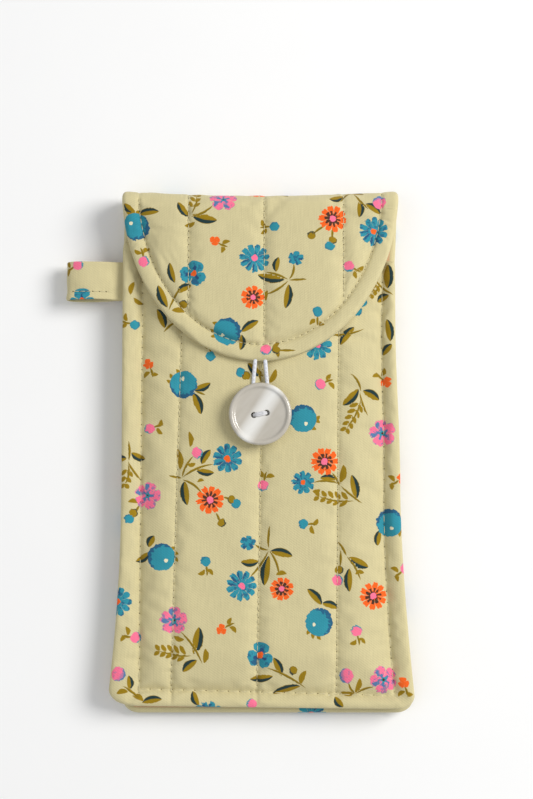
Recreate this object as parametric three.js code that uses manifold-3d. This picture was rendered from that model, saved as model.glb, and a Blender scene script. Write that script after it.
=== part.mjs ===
// A soft quilted glasses case that closes with a rounded flap, an elastic loop and a button.
//
// Two padded panels are stitched together round three sides. The back panel runs on past the
// mouth, folds over it and becomes the flap. Each panel is a printed outer, wadding and a lining.
// Units are millimetres. The case lies on its back: +X across, +Y towards the fold, +Z out of the
// front. The origin is the middle of the back face.
import * as THREE from "three";
import { mergeVertices } from "three/addons/utils/BufferGeometryUtils.js";
import Module from "manifold-3d";

const wasm = await Module();
wasm.setup();

// Case
const CASE_LENGTH = 184;
const WAIST_HALF = 49; // half the width over most of the length
const FOOT_SPREAD = 5.5; // how much further the bottom corners stand out
const FOOT_SPREAD_FROM = -15; // the sides start to spread below this height
const CORNER = 6; // radius of the bottom corners
const TOP = CASE_LENGTH / 2;
const BACK_FOOT = -TOP;
const FRONT_FOOT = BACK_FOOT + 2; // the front panel stops a little short of the back one
const MOUTH = TOP - 20; // top edge of the front panel

// Layers of a panel
const FABRIC = 0.4;
const GAP = 0.3; // between pieces that touch
const PAD = 3.2; // outer, wadding and lining together
const ROLL = 0.8; // how far a panel's edge is rounded in, top and bottom
const INNER_ROLL = 0.6; // the same inside the outer fabric

// Seams
const BORDER = 6; // from the edge to the stitching that joins the panels
const EDGE_SPLAY = 1.6; // how far the two edges stand apart outside that stitching
const EDGE_LIFT = 2.3; // how far the joined edges curl up off the table
const THREAD = 0.3;
const QUILT_SPACING = 28.5;

// The pocket between the panels
const POCKET = 4.6; // clear height
const SHOULDER = 14; // the pocket opens to its height within this distance of the stitching

// Fold and flap
const CREASE_Y = TOP - PAD; // inner line of both creases
const MOUTH_TOP = PAD + GAP + POCKET + PAD; // upper face of the front panel
const FOLD_HEIGHT = MOUTH_TOP + GAP + THREAD + GAP - PAD; // inner height of the fold
const FLAP_REACH = 59.8; // from the top of the case to the tip of the flap
const FLAP_TIP_ANGLE = 83; // degrees of the flap's quarter ellipse, short of its sharp end

// Button, thread and elastic
const BUTTON_Y = TOP - 79.7;
const BUTTON_RADIUS = 11;
const BUTTON_THICKNESS = 3; // at the rim
const BUTTON_DISH = 1.9; // thickness in the middle
const BUTTON_LIFT = 2.9; // underside of the button above the fabric
const HOLE_RADIUS = 0.95;
const HOLE_SPACING = 4.6;
const BUTTON_TURN = 10; // degrees that the row of holes is turned
const SHANK_RADIUS = 1.2;
const BUTTON_STRAND = 0.8; // the doubled thread through the holes
const ELASTIC = 1.4; // diameter
const LOOP_NECK = 3.4; // between the legs where they leave the flap
const LOOP_BIGHT = 6.2; // between the legs at the button

// Side tab
const TAB_Y = 60.4;
const TAB_WIDTH = 13.8;
const TAB_REACH = 19.8; // beyond the case's edge
const TAB_NECK = 1.5; // from the edge to the line where the tab bends
const TAB_LOOP = TAB_REACH - TAB_NECK; // length of the part that bends
const TAB_Z = PAD + EDGE_LIFT + 0.7;
const TAB_PLY = 0.9;
const TAB_EYE = 4.5; // clear height inside the loop
const TAB_ROOT_DEPTH = 2.4; // how far the tab is caught in the seam
const TAB_ROOT_PLY = 0.8;
const TAB_SLACK = 0.9; // bare bend between the root and the loop
const TAB_STITCH_IN = 3; // from the tab's lower edge to its stitching

const PRINT = new THREE.MeshStandardMaterial({ color: 0xd4cba2, roughness: 0.9, metalness: 0 });
const LINING = new THREE.MeshStandardMaterial({ color: 0xe6dfc6, roughness: 0.9, metalness: 0 });
const WADDING = new THREE.MeshStandardMaterial({ color: 0xf2f0ea, roughness: 1, metalness: 0 });
const COTTON = new THREE.MeshStandardMaterial({ color: 0xd9d1ae, roughness: 0.85, metalness: 0 });
const CORD = new THREE.MeshStandardMaterial({ color: 0xe9e9f2, roughness: 0.7, metalness: 0 });
const PEARL = new THREE.MeshStandardMaterial({ color: 0xe4e2dc, roughness: 0.25, metalness: 0 });

const clamp01 = (t) => Math.min(1, Math.max(0, t));
const ease = (t) => clamp01(t) ** 2 * (3 - 2 * clamp01(t));
const mix = (a, b, t) => a + (b - a) * t;

function part(name, geometry, material) {
  const mesh = new THREE.Mesh(geometry, material);
  mesh.name = name;
  return mesh;
}

// ---- Outlines: the height and half width of each row of a panel, from its first row to its last.

function caseHalf(y) {
  const down = clamp01((FOOT_SPREAD_FROM - y) / (FOOT_SPREAD_FROM - BACK_FOOT));
  return WAIST_HALF + FOOT_SPREAD * down ** 2;
}

// A panel with rounded bottom corners, from foot to head.
function panelOutline(foot, head) {
  return (row, inset) => {
    const y = Math.min(head - inset, Math.max(foot + inset, mix(foot, head, row)));
    const radius = CORNER - inset;
    const above = Math.min(radius, Math.max(0, y - foot - inset));
    const corner = radius - Math.sqrt(radius ** 2 - (radius - above) ** 2);
    return { y, half: caseHalf(y) - inset - corner };
  };
}

// The flap laid flat: half an ellipse centred on the top of the case. trim shortens it at the tip.
function flapOutline(trim = 0) {
  const start = CREASE_Y - TOP + GAP;
  return (row, inset) => {
    const reach = FLAP_REACH - inset - trim;
    const first = Math.asin((inset - start + 2 * GAP) / reach);
    const angle = mix(first, THREE.MathUtils.degToRad(FLAP_TIP_ANGLE), row);
    return { y: reach * Math.sin(angle) - PAD, half: (WAIST_HALF - inset) * Math.cos(angle) };
  };
}

// ---- Soft layers

// A closed sheet between two heights over a base surface. Its edge bulges to the full outline
// half way up and is in by roll at the top and bottom. Only the edge moves with the inset, so
// layers over one base stay parallel.
function layer({ outline, rows, columns, inset, roll, low, high, base = () => 0 }) {
  const positions = [];
  const index = [];
  const place = (row, column, height, extra) => {
    const { y, half } = outline(row, inset + extra);
    const x = column * (Math.abs(column) === 1 ? half : outline(row, 0).half);
    positions.push(x, y, base(x, y) + height);
  };
  const grid = (height) => {
    const start = positions.length / 3;
    for (const row of rows) {
      for (const column of columns) place(row, column, height, roll);
    }
    return (i, j) => start + i * columns.length + j;
  };
  const bottom = grid(low);
  const top = grid(high);

  const lastRow = rows.length - 1;
  const lastColumn = columns.length - 1;
  const rim = [];
  for (let j = 0; j < lastColumn; j++) rim.push([0, j]);
  for (let i = 0; i < lastRow; i++) rim.push([i, lastColumn]);
  for (let j = lastColumn; j > 0; j--) rim.push([lastRow, j]);
  for (let i = lastRow; i > 0; i--) rim.push([i, 0]);
  const middle = positions.length / 3;
  for (const [i, j] of rim) place(rows[i], columns[j], (low + high) / 2, 0);

  const quad = (a, b, c, d) => index.push(a, b, c, a, c, d);
  for (let i = 0; i < lastRow; i++) {
    for (let j = 0; j < lastColumn; j++) {
      quad(top(i, j), top(i, j + 1), top(i + 1, j + 1), top(i + 1, j));
      quad(bottom(i, j), bottom(i + 1, j), bottom(i + 1, j + 1), bottom(i, j + 1));
    }
  }
  rim.forEach(([i, j], k) => {
    const next = (k + 1) % rim.length;
    const [ni, nj] = rim[next];
    quad(bottom(i, j), bottom(ni, nj), middle + next, middle + k);
    quad(middle + k, middle + next, top(ni, nj), top(i, j));
  });
  return new THREE.BufferGeometry()
    .setAttribute("position", new THREE.Float32BufferAttribute(positions, 3))
    .setIndex(index);
}

function toManifold(geometry) {
  const bare = geometry.clone();
  bare.deleteAttribute("normal");
  bare.deleteAttribute("uv");
  const merged = mergeVertices(bare, 1e-4);
  const vertProperties = merged.attributes.position.array;
  return new wasm.Manifold(
    new wasm.Mesh({ numProp: 3, vertProperties, triVerts: new Uint32Array(merged.index.array) }),
  );
}

function cut(geometry, ...tools) {
  let solid = toManifold(geometry);
  for (const tool of tools) solid = solid.subtract(toManifold(tool));
  const mesh = solid.getMesh();
  return new THREE.BufferGeometry()
    .setAttribute("position", new THREE.BufferAttribute(mesh.vertProperties, 3))
    .setIndex(new THREE.BufferAttribute(mesh.triVerts, 1));
}

// The three layers of a padded panel between z = floor and z = floor + PAD. The outer wraps round
// the wadding's edge, and the lining closes its open side. outerSide is -1 where the outer faces
// down and +1 where it faces up.
function paddedPanel(name, { outerSide, floor, waddingOutline, ...shape }) {
  const under = outerSide < 0;
  const top = floor + PAD;
  const skin = layer({ ...shape, inset: 0, roll: ROLL, low: floor, high: top });
  const hollow = layer({
    ...shape,
    inset: FABRIC,
    roll: INNER_ROLL,
    low: floor + FABRIC,
    high: top - FABRIC,
  });
  const openingInset = FABRIC + INNER_ROLL;
  const opening = layer({
    ...shape,
    inset: openingInset,
    roll: 0,
    low: under ? top - 2 * FABRIC : floor - 1,
    high: under ? top + 1 : floor + 2 * FABRIC,
  });
  const wadding = layer({
    ...shape,
    outline: waddingOutline ?? shape.outline,
    inset: FABRIC + GAP,
    roll: INNER_ROLL,
    low: floor + FABRIC + GAP,
    high: top - FABRIC - GAP,
  });
  const liningLow = under ? top - FABRIC : floor;
  const lining = layer({
    ...shape,
    inset: openingInset + GAP,
    roll: FABRIC / 4,
    low: liningLow,
    high: liningLow + FABRIC,
  });
  return [
    part(`${name}_outer`, cut(skin, hollow, opening), PRINT),
    part(`${name}_batting`, wadding, WADDING),
    part(`${name}_lining`, lining, LINING),
  ];
}

// ---- Threads, cords and straps

// A cord of the given diameter along points, with that many sides.
function cord(points, diameter, { sides = 4, steps = 16, straight = false } = {}) {
  const section = new THREE.Shape();
  for (let k = 0; k < sides; k++) {
    const angle = ((k + 0.5) / sides) * 2 * Math.PI;
    const x = (diameter / 2) * Math.cos(angle);
    const y = (diameter / 2) * Math.sin(angle);
    if (k === 0) section.moveTo(x, y);
    else section.lineTo(x, y);
  }
  const vectors = points.map((p) => new THREE.Vector3(...p));
  const path = straight
    ? new THREE.LineCurve3(vectors[0], vectors.at(-1))
    : new THREE.CatmullRomCurve3(vectors, false, "centripetal");
  return new THREE.ExtrudeGeometry(section, { steps, bevelEnabled: false, extrudePath: path });
}

const quiltLines = { left: -QUILT_SPACING, centre: 0, right: QUILT_SPACING };

// The quilting lines of the two panels spread with their sides.
const spread = (x, y) => (x * caseHalf(y)) / WAIST_HALF;

// ---- Panels

const FEW_COLUMNS = [-1, -0.5, 0, 0.5, 1];
const HALF_COLUMNS = [0, 0.3, 0.58, 0.65, 0.72, 0.79, 0.85, 0.92, 1];
const MANY_COLUMNS = [...HALF_COLUMNS.slice(1).reverse().map((c) => -c), ...HALF_COLUMNS];

const fromEdge = (x, y) => Math.min(caseHalf(y) - Math.abs(x), y - FRONT_FOOT);

// How far the pocket has opened: 0 at the joined edges and 1 from SHOULDER inside them.
const opened = (x, y) => clamp01((fromEdge(x, y) - BORDER) / SHOULDER);

// Height of the back panel's underside. Its edges curl up where the front panel is joined to them.
function backHeight(x, y) {
  const joined = ease((CREASE_Y - GAP - y) / (CREASE_Y - GAP - MOUTH));
  return EDGE_LIFT * joined * (1 - opened(x, y));
}

// Height of the front panel's lining above the table.
function frontHeight(x, y) {
  const splay = EDGE_SPLAY * clamp01((BORDER - fromEdge(x, y)) / BORDER);
  return PAD + GAP + splay + mix(EDGE_LIFT, POCKET, ease(opened(x, y)));
}

const frontTop = (x, y) => frontHeight(x, y) + PAD;

function backPanel() {
  const shape = {
    outline: panelOutline(BACK_FOOT, CREASE_Y - GAP),
    rows: [0, 0.013, 0.026, 0.043, 0.065, 0.09, 0.13, 0.3, 0.6, 0.9, 0.95, 1],
    columns: MANY_COLUMNS,
    base: backHeight,
  };
  const group = new THREE.Group();
  group.add(...paddedPanel("back", { ...shape, outerSide: -1, floor: 0 }));
  const threadZ = PAD + GAP + THREAD / 2;
  for (const [side, x] of Object.entries(quiltLines)) {
    const foot = FRONT_FOOT + BORDER + SHOULDER;
    const ends = [
      [spread(x, foot), foot, threadZ],
      [x, CREASE_Y - BORDER, threadZ],
    ];
    const line = cord(ends, THREAD, { straight: true, steps: 1 });
    group.add(part(`back_quilting_${side}`, line, COTTON));
  }
  return group;
}

function frontPanel() {
  const shape = {
    outline: panelOutline(FRONT_FOOT, MOUTH),
    rows: [0, 0.014, 0.025, 0.037, 0.055, 0.075, 0.1, 0.125, 0.35, 0.65, 1],
    columns: MANY_COLUMNS,
    base: frontHeight,
  };
  const group = new THREE.Group();
  group.add(...paddedPanel("front", { ...shape, outerSide: 1, floor: 0 }));

  const above = (x, y) => [x, y, frontTop(x, y) + GAP + THREAD];
  for (const [side, x] of Object.entries(quiltLines)) {
    const first = FRONT_FOOT + BORDER + SHOULDER;
    const points = [];
    for (let k = 0; k <= 8; k++) {
      const y = mix(first, MOUTH - 1, k / 8);
      points.push(above(spread(x, y), y));
    }
    group.add(part(`front_quilting_${side}`, cord(points, THREAD), COTTON));
  }

  const stitchX = (y, side) => side * (caseHalf(y) - BORDER);
  const seamFoot = FRONT_FOOT + BORDER;
  for (const [name, side] of [
    ["left", -1],
    ["right", 1],
  ]) {
    const points = [];
    for (let k = 0; k <= 8; k++) {
      const y = mix(seamFoot + 1, MOUTH - 1, k / 8);
      points.push(above(stitchX(y, side), y));
    }
    group.add(part(`side_seam_${name}`, cord(points, THREAD), COTTON));
  }
  const footHalf = stitchX(seamFoot, 1);
  const footEnds = [above(-footHalf, seamFoot), above(footHalf, seamFoot)];
  group.add(part("bottom_seam", cord(footEnds, THREAD, { straight: true, steps: 1 }), COTTON));
  return group;
}

// The fold and the flap are drawn laid flat, as the back panel's own continuation, and their groups
// turn them up over the mouth.
function foldStrip() {
  const outline = (row, inset) => ({
    y: mix(GAP + inset, FOLD_HEIGHT - GAP - inset, row),
    half: WAIST_HALF - inset,
  });
  const group = new THREE.Group();
  group.position.set(0, CREASE_Y, PAD);
  group.rotation.x = Math.PI / 2;
  const shape = { outline, rows: [0, 0.5, 1], columns: FEW_COLUMNS };
  group.add(...paddedPanel("fold", { ...shape, outerSide: -1, floor: -PAD }));
  return group;
}

function flap() {
  const rows = [0, 0.12, 0.24, 0.36, 0.48, 0.6, 0.7, 0.8, 0.87, 0.94, 1];
  const shape = { outline: flapOutline(), rows, columns: FEW_COLUMNS };
  const group = new THREE.Group();
  group.position.set(0, CREASE_Y, PAD + FOLD_HEIGHT);
  group.rotation.x = Math.PI;
  const waddingOutline = flapOutline(BORDER + 2);
  const panel = { ...shape, waddingOutline, outerSide: -1, floor: -PAD };
  group.add(...paddedPanel("flap", panel));

  const threadZ = -PAD - GAP - THREAD / 2;
  const stitch = flapOutline();
  for (const [side, x] of Object.entries(quiltLines)) {
    const lean = Math.acos(Math.abs(x) / (WAIST_HALF - BORDER));
    const foot = (FLAP_REACH - BORDER) * Math.sin(lean) - PAD - 1;
    const ends = [
      [x, 2, threadZ],
      [x, foot, threadZ],
    ];
    const line = cord(ends, THREAD, { straight: true, steps: 1 });
    group.add(part(`flap_quilting_${side}`, line, COTTON));
  }
  const border = [];
  const borderRows = [0, 0.25, 0.45, 0.62, 0.76, 0.88, 1];
  for (const row of borderRows) {
    const { y, half } = stitch(row, BORDER);
    border.push([-half, y, threadZ]);
  }
  for (const row of [...borderRows].reverse()) {
    const { y, half } = stitch(row, BORDER);
    border.push([half, y, threadZ]);
  }
  group.add(part("flap_topstitch", cord(border, THREAD, { steps: 48 }), COTTON));

  // The elastic's tails are sewn flat between the outer and the lining at the tip.
  const tails = new THREE.BoxGeometry(LOOP_NECK + ELASTIC + 2, BORDER - 1, ELASTIC);
  tails.translate(0, FLAP_REACH - PAD - BORDER + 1.3, -PAD / 2);
  group.add(part("elastic_tails", tails, CORD));
  return group;
}

// ---- Closure

function elasticLoop() {
  const z = frontTop(0, BUTTON_Y) + 2 * GAP + THREAD + ELASTIC / 2;
  const tipZ = PAD + FOLD_HEIGHT + PAD / 2;
  const tipY = TOP - FLAP_REACH - GAP;
  const neck = LOOP_NECK / 2;
  const bight = LOOP_BIGHT / 2;
  const leg = [
    [-neck, tipY, tipZ],
    [mix(-neck, -bight, 0.5), mix(tipY, BUTTON_Y, 0.4), mix(tipZ, z, 0.4)],
    [-bight, mix(tipY, BUTTON_Y, 0.85), z],
  ];
  const turn = [];
  for (let k = 0; k <= 6; k++) {
    const angle = Math.PI * (1 + k / 6);
    turn.push([bight * Math.cos(angle), BUTTON_Y + 0.4 + bight * Math.sin(angle), z]);
  }
  const back = leg.map(([x, y, height]) => [-x, y, height]).reverse();
  const points = [...leg, ...turn, ...back];
  return part("elastic_loop", cord(points, ELASTIC, { sides: 8, steps: 44 }), CORD);
}

function buttonGroup() {
  const profile = [
    [0, 0],
    [0.64, 0],
    [0.86, 0.12],
    [0.97, 0.42],
    [1, 0.66],
    [0.98, 0.88],
    [0.92, 1],
    [0.86, 0.93],
    [0.81, 0.76],
    [0.76, 0.72],
    [0.4, 0.65],
    [0, BUTTON_DISH / BUTTON_THICKNESS],
  ].map(([r, z]) => new THREE.Vector2(r * BUTTON_RADIUS, z * BUTTON_THICKNESS));
  const disc = new THREE.LatheGeometry(profile, 36);
  disc.rotateX(Math.PI / 2);
  const holes = [-1, 1].map((side) => {
    const hole = new THREE.CylinderGeometry(HOLE_RADIUS, HOLE_RADIUS, 3 * BUTTON_THICKNESS, 14);
    return hole.rotateX(Math.PI / 2).translate((side * HOLE_SPACING) / 2, 0, 0);
  });

  const reach = HOLE_SPACING / 2;
  const over = BUTTON_DISH + GAP + BUTTON_STRAND / 2 + 0.1;
  const strand = [
    [-reach, 0, 0.2],
    [-reach, 0, BUTTON_DISH * 0.8],
    [-reach * 0.55, 0, over],
    [reach * 0.55, 0, over],
    [reach, 0, BUTTON_DISH * 0.8],
    [reach, 0, 0.2],
  ];
  const group = new THREE.Group();
  group.position.set(0, BUTTON_Y, frontTop(0, BUTTON_Y) + BUTTON_LIFT);
  group.rotation.z = THREE.MathUtils.degToRad(BUTTON_TURN);
  group.add(part("button", cut(disc, ...holes), PEARL));
  const strandShape = cord(strand, BUTTON_STRAND, { sides: 6, steps: 20 });
  group.add(part("button_thread", strandShape, COTTON));
  return group;
}

function threadShank() {
  const low = THREAD + 3 * GAP; // clear of the quilting thread below it
  const high = BUTTON_LIFT - GAP;
  const waist = SHANK_RADIUS * 0.85;
  const profile = [
    [0, low],
    [SHANK_RADIUS, low],
    [waist, (low + high) / 2],
    [SHANK_RADIUS, high],
    [0, high],
  ].map(([r, z]) => new THREE.Vector2(r, z));
  const geometry = new THREE.LatheGeometry(profile, 16).rotateX(Math.PI / 2);
  const mesh = part("thread_shank", geometry, COTTON);
  mesh.position.set(0, BUTTON_Y, frontTop(0, BUTTON_Y));
  return mesh;
}

// ---- Side tab: a strip folded into a flat loop, seen end on as a slim teardrop.

// One outline of the loop, drawn from its bend line: the outer one, or the inner one round the eye.
function traceTab(path, { start, startHalf, half, end }) {
  const shoulder = -TAB_LOOP * 0.55;
  const bend = -TAB_LOOP * 0.3;
  const round = end + half * 0.75;
  path.moveTo(start, -startHalf);
  path.lineTo(start, startHalf);
  path.quadraticCurveTo(bend, half * 0.95, shoulder, half);
  path.lineTo(round, half);
  path.quadraticCurveTo(end, half, end, 0);
  path.quadraticCurveTo(end, -half, round, -half);
  path.lineTo(shoulder, -half);
  path.quadraticCurveTo(bend, -half * 0.95, start, -startHalf);
  return path;
}

function sideTab() {
  const eyeHalf = TAB_EYE / 2;
  const outerHalf = eyeHalf + TAB_PLY;
  const strip = traceTab(new THREE.Shape(), {
    start: -GAP,
    startHalf: TAB_PLY,
    half: outerHalf,
    end: -TAB_LOOP,
  });
  const eye = traceTab(new THREE.Path(), {
    start: -3,
    startHalf: 0.1,
    half: eyeHalf,
    end: TAB_PLY - TAB_LOOP,
  });
  strip.holes.push(eye);
  const loop = new THREE.ExtrudeGeometry(strip, {
    depth: TAB_WIDTH,
    bevelEnabled: false,
    curveSegments: 6,
  });
  loop.rotateX(Math.PI / 2).translate(0, TAB_WIDTH / 2, 0);

  const group = new THREE.Group();
  group.position.set(-caseHalf(TAB_Y) - TAB_NECK, TAB_Y, TAB_Z);
  group.add(part("tab_loop", loop, PRINT));

  const stitchY = -TAB_WIDTH / 2 + TAB_STITCH_IN;
  const stitchZ = outerHalf + GAP + THREAD / 2;
  const ends = [
    [-TAB_LOOP * 0.85, stitchY, stitchZ],
    [-TAB_LOOP * 0.55, stitchY, stitchZ],
  ];
  const line = cord(ends, THREAD, { straight: true, steps: 1 });
  group.add(part("tab_topstitch", line, COTTON));

  const rootLength = TAB_NECK + TAB_ROOT_DEPTH - TAB_SLACK;
  const root = new THREE.BoxGeometry(rootLength, TAB_WIDTH, TAB_ROOT_PLY);
  root.translate(TAB_SLACK + rootLength / 2, 0, 0);
  group.add(part("tab_root", root, PRINT));
  return group;
}

const glassesCase = new THREE.Group();
glassesCase.name = "glasses_case";
glassesCase.add(backPanel(), frontPanel(), foldStrip(), flap());
glassesCase.add(elasticLoop(), threadShank(), buttonGroup(), sideTab());

export default glassesCase;
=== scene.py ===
"""The visual model of a soft quilted glasses case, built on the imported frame.

Every panel is laid out flat first, in millimetres of cloth: x across and v along, from the foot
up. The back panel's v runs on round the fold and down the flap. Seams, quilting, wrinkles and the
print all live in those flat coordinates, and a mapping then bends the cloth into place.
"""

import math

import bmesh
import bpy
import numpy as np
from mathutils import Matrix, Vector
from mathutils.bvhtree import BVHTree
from mathutils.kdtree import KDTree


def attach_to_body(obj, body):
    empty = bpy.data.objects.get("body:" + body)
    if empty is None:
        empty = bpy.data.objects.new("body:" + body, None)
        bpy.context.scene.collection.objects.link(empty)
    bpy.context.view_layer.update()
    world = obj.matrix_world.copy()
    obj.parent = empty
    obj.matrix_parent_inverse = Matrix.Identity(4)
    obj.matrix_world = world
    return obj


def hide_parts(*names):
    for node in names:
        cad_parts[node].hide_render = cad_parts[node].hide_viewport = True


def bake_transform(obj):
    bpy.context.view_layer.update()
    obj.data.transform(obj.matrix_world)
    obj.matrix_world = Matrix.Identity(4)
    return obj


MM = 0.001

# Case, as in the CAD (mm)
TOP = 92
PAD = 3.2
EDGE_LIFT = 2.3
EDGE_SPLAY = 1.6
POCKET = 4.6
BORDER = 6
SHOULDER = 14
FRONT_FOOT = -90
BACK_FOOT = -92
FRONT_SEAM_FOOT = -84.4
FOOT_INSET = 5  # how far the back's lower left corner is drawn in
MOUTH = 71
GAP = 0.3  # between the panels where they are sewn together

# Fold and flap
BEND = 5.5  # outer radius of the two bends at the fold
FOLD_START = TOP - BEND
FLAP_TOP = 15.4  # height of the flap's upper face
SPINE = FLAP_TOP - 2 * BEND  # flat stretch between the bends
ARC = BEND * math.pi / 2
MID_SPINE = FOLD_START + ARC + SPINE / 2
FLAP_ORIGIN = MID_SPINE + SPINE / 2 + ARC - BEND  # v of the centre of the flap's half ellipse
FLAP_HALF = 49.0
FLAP_REACH = 61.0
FOLD_DIP = 1.5  # how far the middle of the fold is drawn in
FLAP_LINES = (-25.3, 1.4, 29.4)  # x of the quilting
BACK_LINES = (-28.5, 0, 28.5)  # the same at the back's foot

# Padding
CROWN = 1.75  # half thickness in the middle of a channel
EDGE_ROUND = 2.6
SEAM_DEPTH = 1.35  # how far the border stitching is pulled in
SEAM_WIDTH = 1.15
QUILT_DEPTH = 0.75
QUILT_WIDTH = 1.3
TUCK = 3.0  # how far the outer wraps round to the lining side
LINING_UNDERLAP = 1.4  # how far the lining reaches beneath it

# Stitches
PITCH = 2.35
SEAM_PITCH = 3.9
STITCH = 0.24  # thread thickness
HOLE = 0.27  # radius of a needle hole
DIMPLE = 0.3
DIMPLE_WIDTH = 0.62

# Cloth simulation
CLOTH_SCALE = 20
CLOTH_FRAMES = 20
CLOTH_CAP = 0.8  # the most that a point may move (mm)
CLOTH_INWARD = 0.1  # and the most inward

# Button, elastic and tab
BUTTON_Y = 12.3
BUTTON_BASE = 14.2
BUTTON_RADIUS = 11
BUTTON_THICKNESS = 3
HOLE_SPACING = 4.6
BUTTON_TURN = math.radians(10)
ELASTIC = 1.4
TAB_PIVOT = (-50.5, 60.4, 6.2)
TAB_WIDTH = 13.8

# Floor (mm) and camera
FLOOR_SIZE = 6000  # half its side
FLOOR_Z = -0.16  # just beneath the lowest point of the cloth
CAMERA_TARGET = (2.2, 18.05, 8)
CAMERA_ELEVATION = math.radians(85)
CAMERA_DISTANCE = 0.667  # m

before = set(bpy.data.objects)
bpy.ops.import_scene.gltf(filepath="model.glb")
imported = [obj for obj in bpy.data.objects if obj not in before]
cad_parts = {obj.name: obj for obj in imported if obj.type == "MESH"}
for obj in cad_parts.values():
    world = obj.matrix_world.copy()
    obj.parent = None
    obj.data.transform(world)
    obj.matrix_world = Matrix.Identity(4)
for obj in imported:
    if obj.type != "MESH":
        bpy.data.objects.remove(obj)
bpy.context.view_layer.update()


# ---- Small helpers


def ease(a, b, x):
    """0 below a, 1 above b, and smooth between them."""
    t = np.clip((x - a) / (b - a), 0, 1)
    return t * t * (3 - 2 * t)


def mix(a, b, t):
    return a + (b - a) * t


def m(*point):
    """A point in mm as one in metres."""
    return tuple(c * MM for c in point)


def waves(x, y, seed, wavelength, octaves=7):
    """Smooth irregular bumps between about -1 and 1."""
    rng = np.random.default_rng(seed)
    total = 0
    for _ in range(octaves):
        angle = rng.uniform(0, 2 * math.pi)
        k = 2 * math.pi / (wavelength * rng.uniform(0.7, 1.5))
        total = total + np.sin(k * (x * math.cos(angle) + y * math.sin(angle)) + rng.uniform(0, 6.3))
    return total / math.sqrt(octaves)


def spaced(a, b, count, bunch=0.55):
    """count steps from a to b, closer together at both ends."""
    t = np.linspace(0, 1, count + 1)
    return a + (b - a) * (t - bunch * np.sin(2 * math.pi * t) / (2 * math.pi))


def new_object(name, vertices, faces, material=None):
    """A mesh object from points in mm."""
    mesh = bpy.data.meshes.new(name)
    mesh.from_pydata((np.asarray(vertices, float) * MM).tolist(), [], [list(f) for f in faces])
    mesh.validate()
    mesh.polygons.foreach_set("use_smooth", [True] * len(mesh.polygons))
    obj = bpy.data.objects.new(name, mesh)
    bpy.context.scene.collection.objects.link(obj)
    if material is not None:
        mesh.materials.append(material)
    return obj


def apply_modifiers(obj):
    graph = bpy.context.evaluated_depsgraph_get()
    mesh = bpy.data.meshes.new_from_object(obj.evaluated_get(graph))
    old = obj.data
    obj.modifiers.clear()
    obj.data = mesh
    mesh.name = old.name
    bpy.data.meshes.remove(old)


def subdivide(obj, levels):
    if levels:
        modifier = obj.modifiers.new("smooth", "SUBSURF")
        modifier.levels = modifier.render_levels = levels
        modifier.uv_smooth = "NONE"
        apply_modifiers(obj)
    return obj


def face_outward(obj):
    """Turns the faces of a closed mesh outward."""
    mesh = bmesh.new()
    mesh.from_mesh(obj.data)
    bmesh.ops.recalc_face_normals(mesh, faces=mesh.faces)
    mesh.to_mesh(obj.data)
    mesh.free()


def coordinates(obj):
    out = np.empty(3 * len(obj.data.vertices))
    obj.data.vertices.foreach_get("co", out)
    return out.reshape(-1, 3) / MM


def set_coordinates(obj, points):
    obj.data.vertices.foreach_set("co", (np.asarray(points) * MM).ravel())
    obj.data.update()


def closed_rings(rings, count):
    """Faces between neighbouring rings of count points, and one across each end."""
    faces = []
    for a in range(0, (rings - 1) * count, count):
        for k in range(count):
            n = (k + 1) % count
            faces.append((a + k, a + n, a + count + n, a + count + k))
    faces.append(tuple(reversed(range(count))))
    faces.append(tuple(range((rings - 1) * count, rings * count)))
    return faces


def tube(points, radius, sides=8):
    """Vertices and faces of a round tube along points, both in mm. radius may vary."""
    points = np.asarray(points, float)
    count = len(points)
    radii = np.broadcast_to(np.asarray(radius, float), (count,))
    tangents = np.gradient(points, axis=0)
    tangents /= np.linalg.norm(tangents, axis=1)[:, None]
    side = np.cross(tangents[0], (0, 0, 1))
    if np.linalg.norm(side) < 1e-3:
        side = np.cross(tangents[0], (0, 1, 0))
    vertices = []
    for point, tangent, r in zip(points, tangents, radii):
        side = side - tangent * np.dot(side, tangent)
        side /= np.linalg.norm(side)
        other = np.cross(tangent, side)
        for k in range(sides):
            angle = 2 * math.pi * k / sides
            vertices.append(point + r * (math.cos(angle) * side + math.sin(angle) * other))
    return vertices, closed_rings(count, sides)


def joined(parts):
    """Several (vertices, faces) as one."""
    vertices, faces = [], []
    for v, f in parts:
        start = len(vertices)
        vertices.extend(v)
        faces.extend([tuple(i + start for i in face) for face in f])
    return vertices, faces


def spline(points, count):
    """count points on a Catmull-Rom curve through points."""
    p = np.asarray(points, float)
    p = np.vstack([2 * p[0] - p[1], p, 2 * p[-1] - p[-2]])
    spans = len(p) - 3
    out = []
    for u in np.linspace(0, spans, count):
        i = min(int(u), spans - 1)
        t = u - i
        a, b, c, d = p[i : i + 4]
        square = (2 * a - 5 * b + 4 * c - d) * t * t
        cube = (3 * b - a - 3 * c + d) * t**3
        out.append(0.5 * (2 * b + (c - a) * t + square + cube))
    return np.array(out)


# ---- Shader graphs


class Value:
    """A shader socket that takes part in arithmetic."""

    def __init__(self, graph, socket):
        self.graph = graph
        self.socket = socket

    def __add__(self, other):
        return self.graph.math("ADD", self, other)

    __radd__ = __add__

    def __sub__(self, other):
        return self.graph.math("SUBTRACT", self, other)

    def __rsub__(self, other):
        return self.graph.math("SUBTRACT", other, self)

    def __mul__(self, other):
        return self.graph.math("MULTIPLY", self, other)

    __rmul__ = __mul__

    def __truediv__(self, other):
        return self.graph.math("DIVIDE", self, other)


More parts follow.
